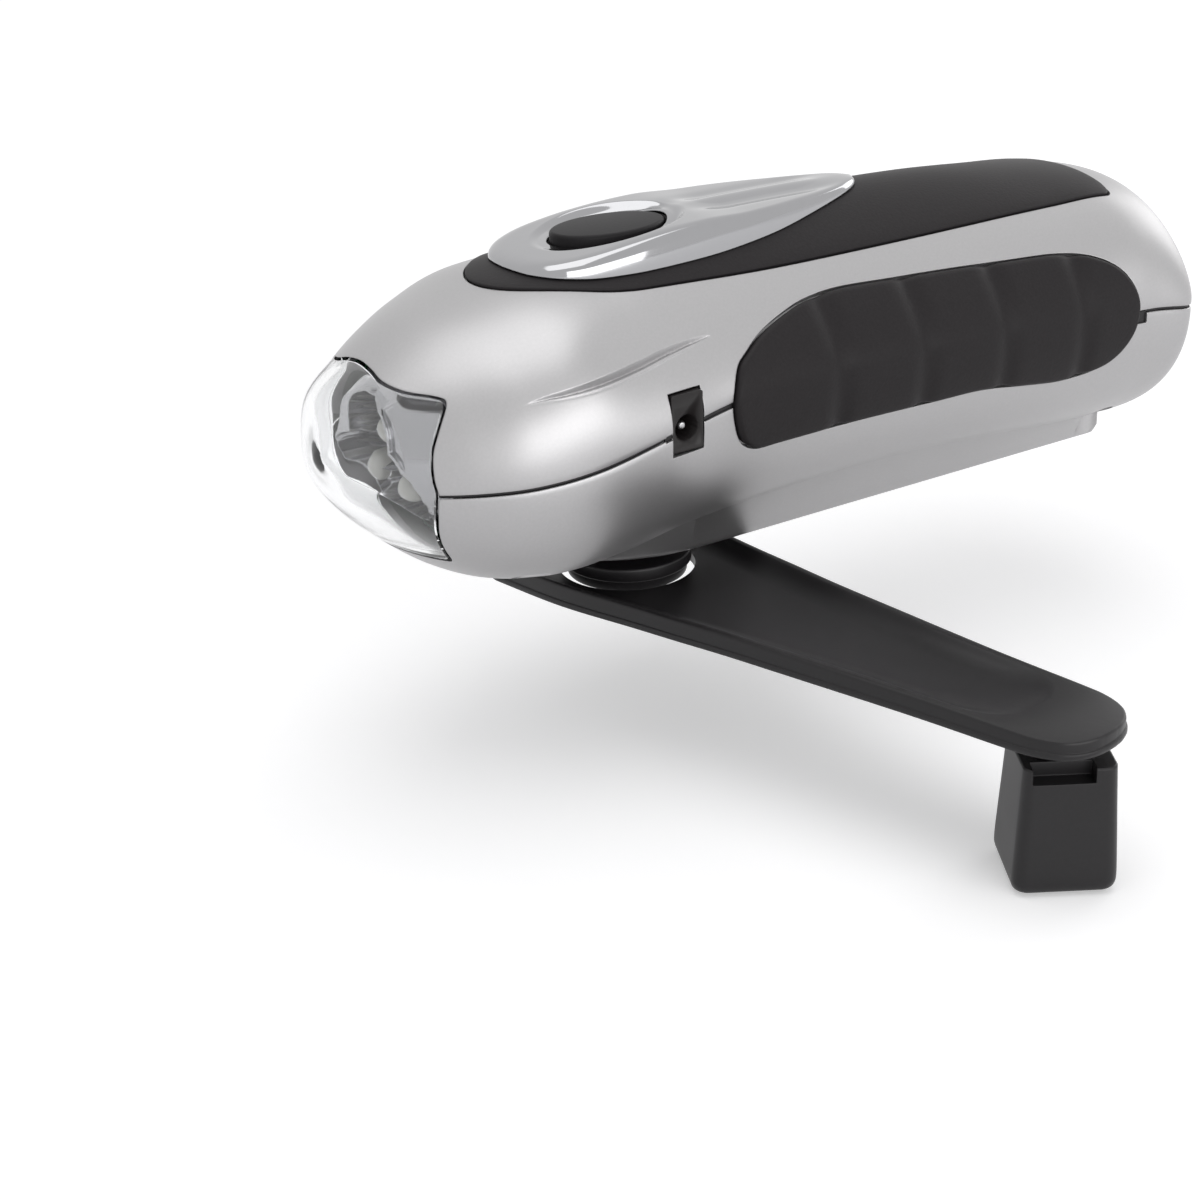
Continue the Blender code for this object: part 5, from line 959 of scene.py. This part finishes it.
def build_arm():
    bm = bmesh.new()
    rings = []
    for d, rise in ((1.4, 0.0), (0.5, 0.02), (0.12, 0.16), (0.0, 0.45), (0.0, 0.95), (0.06, 1.08), (0.22, 1.14)):
        rings.append([bm.verts.new((u, n, underside(u) + rise)) for u, n in arm_outline(d)])
    for d, z in ((0.22, -2.95), (0.26, -2.75), (0.38, -2.58), (0.60, ARM_TOP)):
        rings.append([bm.verts.new((u, n, z)) for u, n in arm_outline(d)])
    for k, rise in ((1.0, 1.0), (1.12, 0.97), (1.35, 0.88), (1.65, 0.74), (2.0, 0.58), (2.5, 0.41), (3.0, 0.28),
                    (3.6, 0.17), (4.3, 0.07), (5.2, 0.0)):
        ring = []
        for u, n in arm_outline(0.9 * k, 80.4 - 1.9 * k):
            floor = underside(u) + ARM_FLOOR
            ring.append(bm.verts.new((u, n, floor + (ARM_TOP - floor) * rise)))
        rings.append(ring)
    skin(bm, rings)
    bm.faces.new(rings[0][::-1])
    bm.faces.new(rings[-1])
    arm = finish_mesh(bm, "arm_tray", angle=40)
    inner = LUG_HALF_WIDTH + 0.5
    for low, high in ((-10.0, -inner), (inner, 10.0)):
        cut(arm, pin_tool(LUG_RADIUS, low, high, 40), "UNION")
    cut(arm, box_tool((-22.0, -inner, -10.0), (-9.0, inner, 2.0)))
    cut(arm, cylinder_tool((0, 0, 0), WINDOW_RADIUS, -10.0, 2.0, steps=128))
    cut(arm, pin_tool(PIN_HOLE, -20.0, 20.0, 32))
    cut(arm, cylinder_tool((KNOB_AT, 0, 0), 2.3, -10.0, -3.0))
    shade(arm.data)
    dress(in_crank(arm), BLACK, "arm", "crank_arm", slot="black_plastic")


def build_hub():
    r = 0.35
    rim = HUB_RADIUS - r
    disc = [(0, HUB_BOTTOM), (rim, HUB_BOTTOM)]
    disc += [(rim + r * math.sin(a), HUB_BOTTOM + r - r * math.cos(a)) for a in np.linspace(0.3, math.pi / 2, 4)]
    disc += [(rim + r * math.cos(a), HUB_TOP - r + r * math.sin(a)) for a in np.linspace(0.0, math.pi / 2, 4)]
    disc += [(6.6, HUB_TOP), (6.1, -1.2), (6.0, -0.9), (6.0, -0.3), (0, -0.3)]
    hub = lathe("hub_disc", disc, (0, 0, 0), 96)
    foot = [(0, HUB_FOOT_BOTTOM), (HUB_FOOT_RADIUS - 0.25, HUB_FOOT_BOTTOM), (HUB_FOOT_RADIUS - 0.07, -5.22),
            (HUB_FOOT_RADIUS, -5.0), (HUB_FOOT_RADIUS, -2.0), (0, -2.0)]
    cut(hub, lathe("tool", foot, (0, 0, 0), 96), "UNION")
    cut(hub, box_tool((-PIN, -LUG_HALF_WIDTH, -4.6), (0.0, LUG_HALF_WIDTH, -1.7)), "UNION")
    cut(hub, pin_tool(LUG_RADIUS, -LUG_HALF_WIDTH, LUG_HALF_WIDTH, 40), "UNION")
    cut(hub, pin_tool(PIN_HOLE, -9.0, 9.0, 32))
    cut(hub, cylinder_tool((0, 0, 0), 2.8, -2.65, 4.0))
    cut(hub, cylinder_tool((0, 0, 0), 2.5, -9.0, -3.45))
    cut(hub, cylinder_tool((0, 0, 0), 1.3, -9.0, 4.0))
    shade(hub.data)
    dress(in_crank(hub), BLACK, "crank", "crank_hub", slot="black_plastic")


def rounded_square(half, corner):
    """A square with round corners, as an outline with even edges."""
    pts, steps = [], 10
    reach = (half - corner) * math.sqrt(2)
    for q in range(4):
        base = math.radians(90 * q + 45)
        for k in range(steps + 1):
            a = math.radians(90 * q + 90 * k / steps)
            pts.append((reach * math.cos(base) + corner * math.cos(a), reach * math.sin(base) + corner * math.sin(a)))
    return resample(pts, 1.2)


# Down the knob: share of its height, and of its width
KNOB_STATIONS = ((0.000, 0.86), (0.012, 0.88), (0.040, 0.89), (0.30, 0.925), (0.62, 0.97), (0.87, 1.00),
                 (0.945, 0.985), (0.985, 0.93), (1.000, 0.84))


def build_knob():
    bm = bmesh.new()
    rings = []
    outline = rounded_square(KNOB_HALF, KNOB_HALF * KNOB_CORNER_SHARE)
    for a, s in catmull_table(KNOB_STATIONS, 5):
        rings.append([bm.verts.new((x * s, y * s, KNOB_TOP - a * KNOB_HEIGHT)) for x, y in outline])
    bm.faces.new(rings[0])
    bm.faces.new(rings[-1])
    skin(bm, rings)
    knob = finish_mesh(bm, "knob_grip", angle=45)
    cut(knob, box_tool((3.8, -5.2, -9.7), (12.0, 3.2, -2.0)))
    cut(knob, cylinder_tool((0, 0, 0), 3.4, -10.1, -5.67), "UNION")
    cut(knob, cylinder_tool((0, 0, 0), 2.3, -22.4, -2.0))
    cut(knob, cylinder_tool((0, 0, 0), 3.5, -30.0, -22.1))
    knob.data.transform(Matrix.Rotation(math.radians(KNOB_TURN), 4, "Z"))
    knob.data.transform(Matrix.Translation(Vector((KNOB_AT, 0, 0)) * MM))
    shade(knob.data, 40)
    dress(in_crank(knob), BLACK, "knob_body", "knob", slot="black_plastic")
    shape = ((0, -23.8), (2.8, -23.8), (3.2, -23.4), (3.2, -22.4), (2.0, -22.4), (2.0, -3.3), (0, -3.3))
    spindle = lathe("spindle_screw", shape, (KNOB_AT, 0, 0), 48)
    for u, v in ((2.2, 0.35), (0.35, 2.2)):
        cut(spindle, box_tool((KNOB_AT - u, -v, -25.0), (KNOB_AT + u, v, -23.1)))
    dress(in_crank(spindle), STEEL, "arm", "knob_spindle", slot="steel")


for names, material in (
        (("axle_1", "axle_2", "axle_3", "stator_cage", "crank_shaft", "hub_screw", "hinge_pin"), STEEL),
        ([f"{a}_screw_{i}" for a in ("case", "plate", "board") for i in range(1, 5)], STEEL),
        (("switch_body", "gear_plate"), BLACK), (("main_board", "led_board"), GREEN), (("battery_pack",), WRAP),
        (("generator_rotor",), MAGNET), (("generator_coil",), COPPER), (("shaft_bush",), BRASS),
        (("switch_plunger", "drive_gear", "compound_gear_1", "compound_gear_2"), NYLON)):
    for name in names:
        node = NODES[name]
        node.data.materials.clear()
        node.data.materials.append(material)

build_shells()
build_seam()
build_inlays()
build_bezel()
build_button()
build_jack()
build_lamps()
build_arm()
build_hub()
build_knob()


# Floor, light and camera
def seen_directly(nodes, links):
    """1 for camera, glossy and transmission rays, 0 for the rays that light the object."""
    path = nodes.new("ShaderNodeLightPath")
    first, second = nodes.new("ShaderNodeMath"), nodes.new("ShaderNodeMath")
    first.operation = second.operation = "MAXIMUM"
    links.new(path.outputs["Is Camera Ray"], first.inputs[0])
    links.new(path.outputs["Is Glossy Ray"], first.inputs[1])
    links.new(first.outputs[0], second.inputs[0])
    links.new(path.outputs["Is Transmission Ray"], second.inputs[1])
    return second.outputs[0]


def stage():
    """A white floor that lights the object plainly, shows as white and keeps the shadow."""
    floor_z = cad_box[0].z - 0.0004
    mesh = bpy.data.meshes.new("floor")
    corners = [(6.0 * u, 6.0 * v, floor_z) for u, v in ((-1, -1), (1, -1), (1, 1), (-1, 1))]
    mesh.from_pydata(corners, [], [(0, 1, 2, 3)])
    floor = bpy.data.objects.new("floor", mesh)
    bpy.context.scene.collection.objects.link(floor)
    m = bpy.data.materials.new("floor_white")
    m.use_nodes = True
    nodes, links = m.node_tree.nodes, m.node_tree.links
    shader = nodes["Principled BSDF"]
    shader.inputs["Base Color"].default_value = (0.88, 0.88, 0.88, 1)
    shader.inputs["Roughness"].default_value = 0.9
    shader.inputs["Specular IOR Level"].default_value = 0.0
    shader.inputs["Emission Color"].default_value = (1, 1, 1, 1)
    place, reach = nodes.new("ShaderNodeTexCoord"), nodes.new("ShaderNodeVectorMath")
    reach.operation = "LENGTH"
    links.new(place.outputs["Object"], reach.inputs[0])
    fade = nodes.new("ShaderNodeMapRange")
    for key, value in (("From Min", 0.2), ("From Max", 1.8), ("To Min", 0.33), ("To Max", 0.62)):
        fade.inputs[key].default_value = value
    links.new(reach.outputs["Value"], fade.inputs["Value"])
    lift = nodes.new("ShaderNodeMath")
    lift.operation = "MULTIPLY"
    links.new(seen_directly(nodes, links), lift.inputs[0])
    links.new(fade.outputs["Result"], lift.inputs[1])
    links.new(lift.outputs[0], shader.inputs["Emission Strength"])
    mesh.materials.append(m)


def world():
    """White where it is seen, and grey where it lights the object."""
    w = bpy.data.worlds.new("studio")
    bpy.context.scene.world = w
    w.use_nodes = True
    nodes, links = w.node_tree.nodes, w.node_tree.links
    nodes.clear()
    seen, light, mix, out = (nodes.new(t) for t in ("ShaderNodeBackground", "ShaderNodeBackground",
                                                    "ShaderNodeMixShader", "ShaderNodeOutputWorld"))
    seen.inputs["Color"].default_value = (1, 1, 1, 1)
    light.inputs["Color"].default_value = (0.46, 0.46, 0.47, 1)
    links.new(seen_directly(nodes, links), mix.inputs["Fac"])
    links.new(light.outputs[0], mix.inputs[1])
    links.new(seen.outputs[0], mix.inputs[2])
    links.new(mix.outputs[0], out.inputs["Surface"])


def area(name, where, aim, size, power):
    data = bpy.data.lights.new(name, "AREA")
    data.shape, data.size, data.size_y, data.energy = "RECTANGLE", size[0], size[1], power
    lamp = bpy.data.objects.new(name, data)
    lamp.location = where
    lamp.rotation_euler = (Vector(aim) - Vector(where)).to_track_quat("-Z", "Y").to_euler()
    lamp.visible_camera = False
    bpy.context.scene.collection.objects.link(lamp)


def camera():
    """The photo's angle, from a camera fitted to it, in pixels of the photo."""
    forward = Vector((0.496, 0.763, -0.415)).normalized()
    right0 = forward.cross(Vector((0, 0, 1))).normalized()
    up0 = right0.cross(forward)
    roll = math.radians(1.6)
    right = right0 * math.cos(roll) - up0 * math.sin(roll)
    up = right0 * math.sin(roll) + up0 * math.cos(roll)
    f, depth, middle, seen_at = 2200.0, 0.3143, 600, (750, 400)
    point = Vector((-0.031, -0.025, 0.0282))
    place = point - forward * depth
    place = place - right * ((seen_at[0] - middle) / f * depth) - up * ((middle - seen_at[1]) / f * depth)
    data = bpy.data.cameras.new("photo_view")
    data.lens, data.sensor_width = 66.0, 36.0
    data.clip_start, data.clip_end = 0.01, 50.0
    cam = bpy.data.objects.new("photo_view", data)
    cam.matrix_world = Matrix((right, up, -forward)).transposed().to_4x4()
    cam.location = place
    bpy.context.scene.collection.objects.link(cam)
    bpy.context.scene.camera = cam


stage()
world()
camera()
area("front", (0.0, -1.1, 0.20), (0.0, 0, 0.02), (1.3, 0.7), 7.0)
area("top", (-0.05, 0.05, 1.15), (0.0, 0, 0.02), (1.2, 0.9), 4.6)
area("side", (1.0, 0.15, 0.35), (0.0, 0, 0.02), (0.6, 0.5), 1.6)
bpy.context.scene.view_settings.view_transform = "Standard"
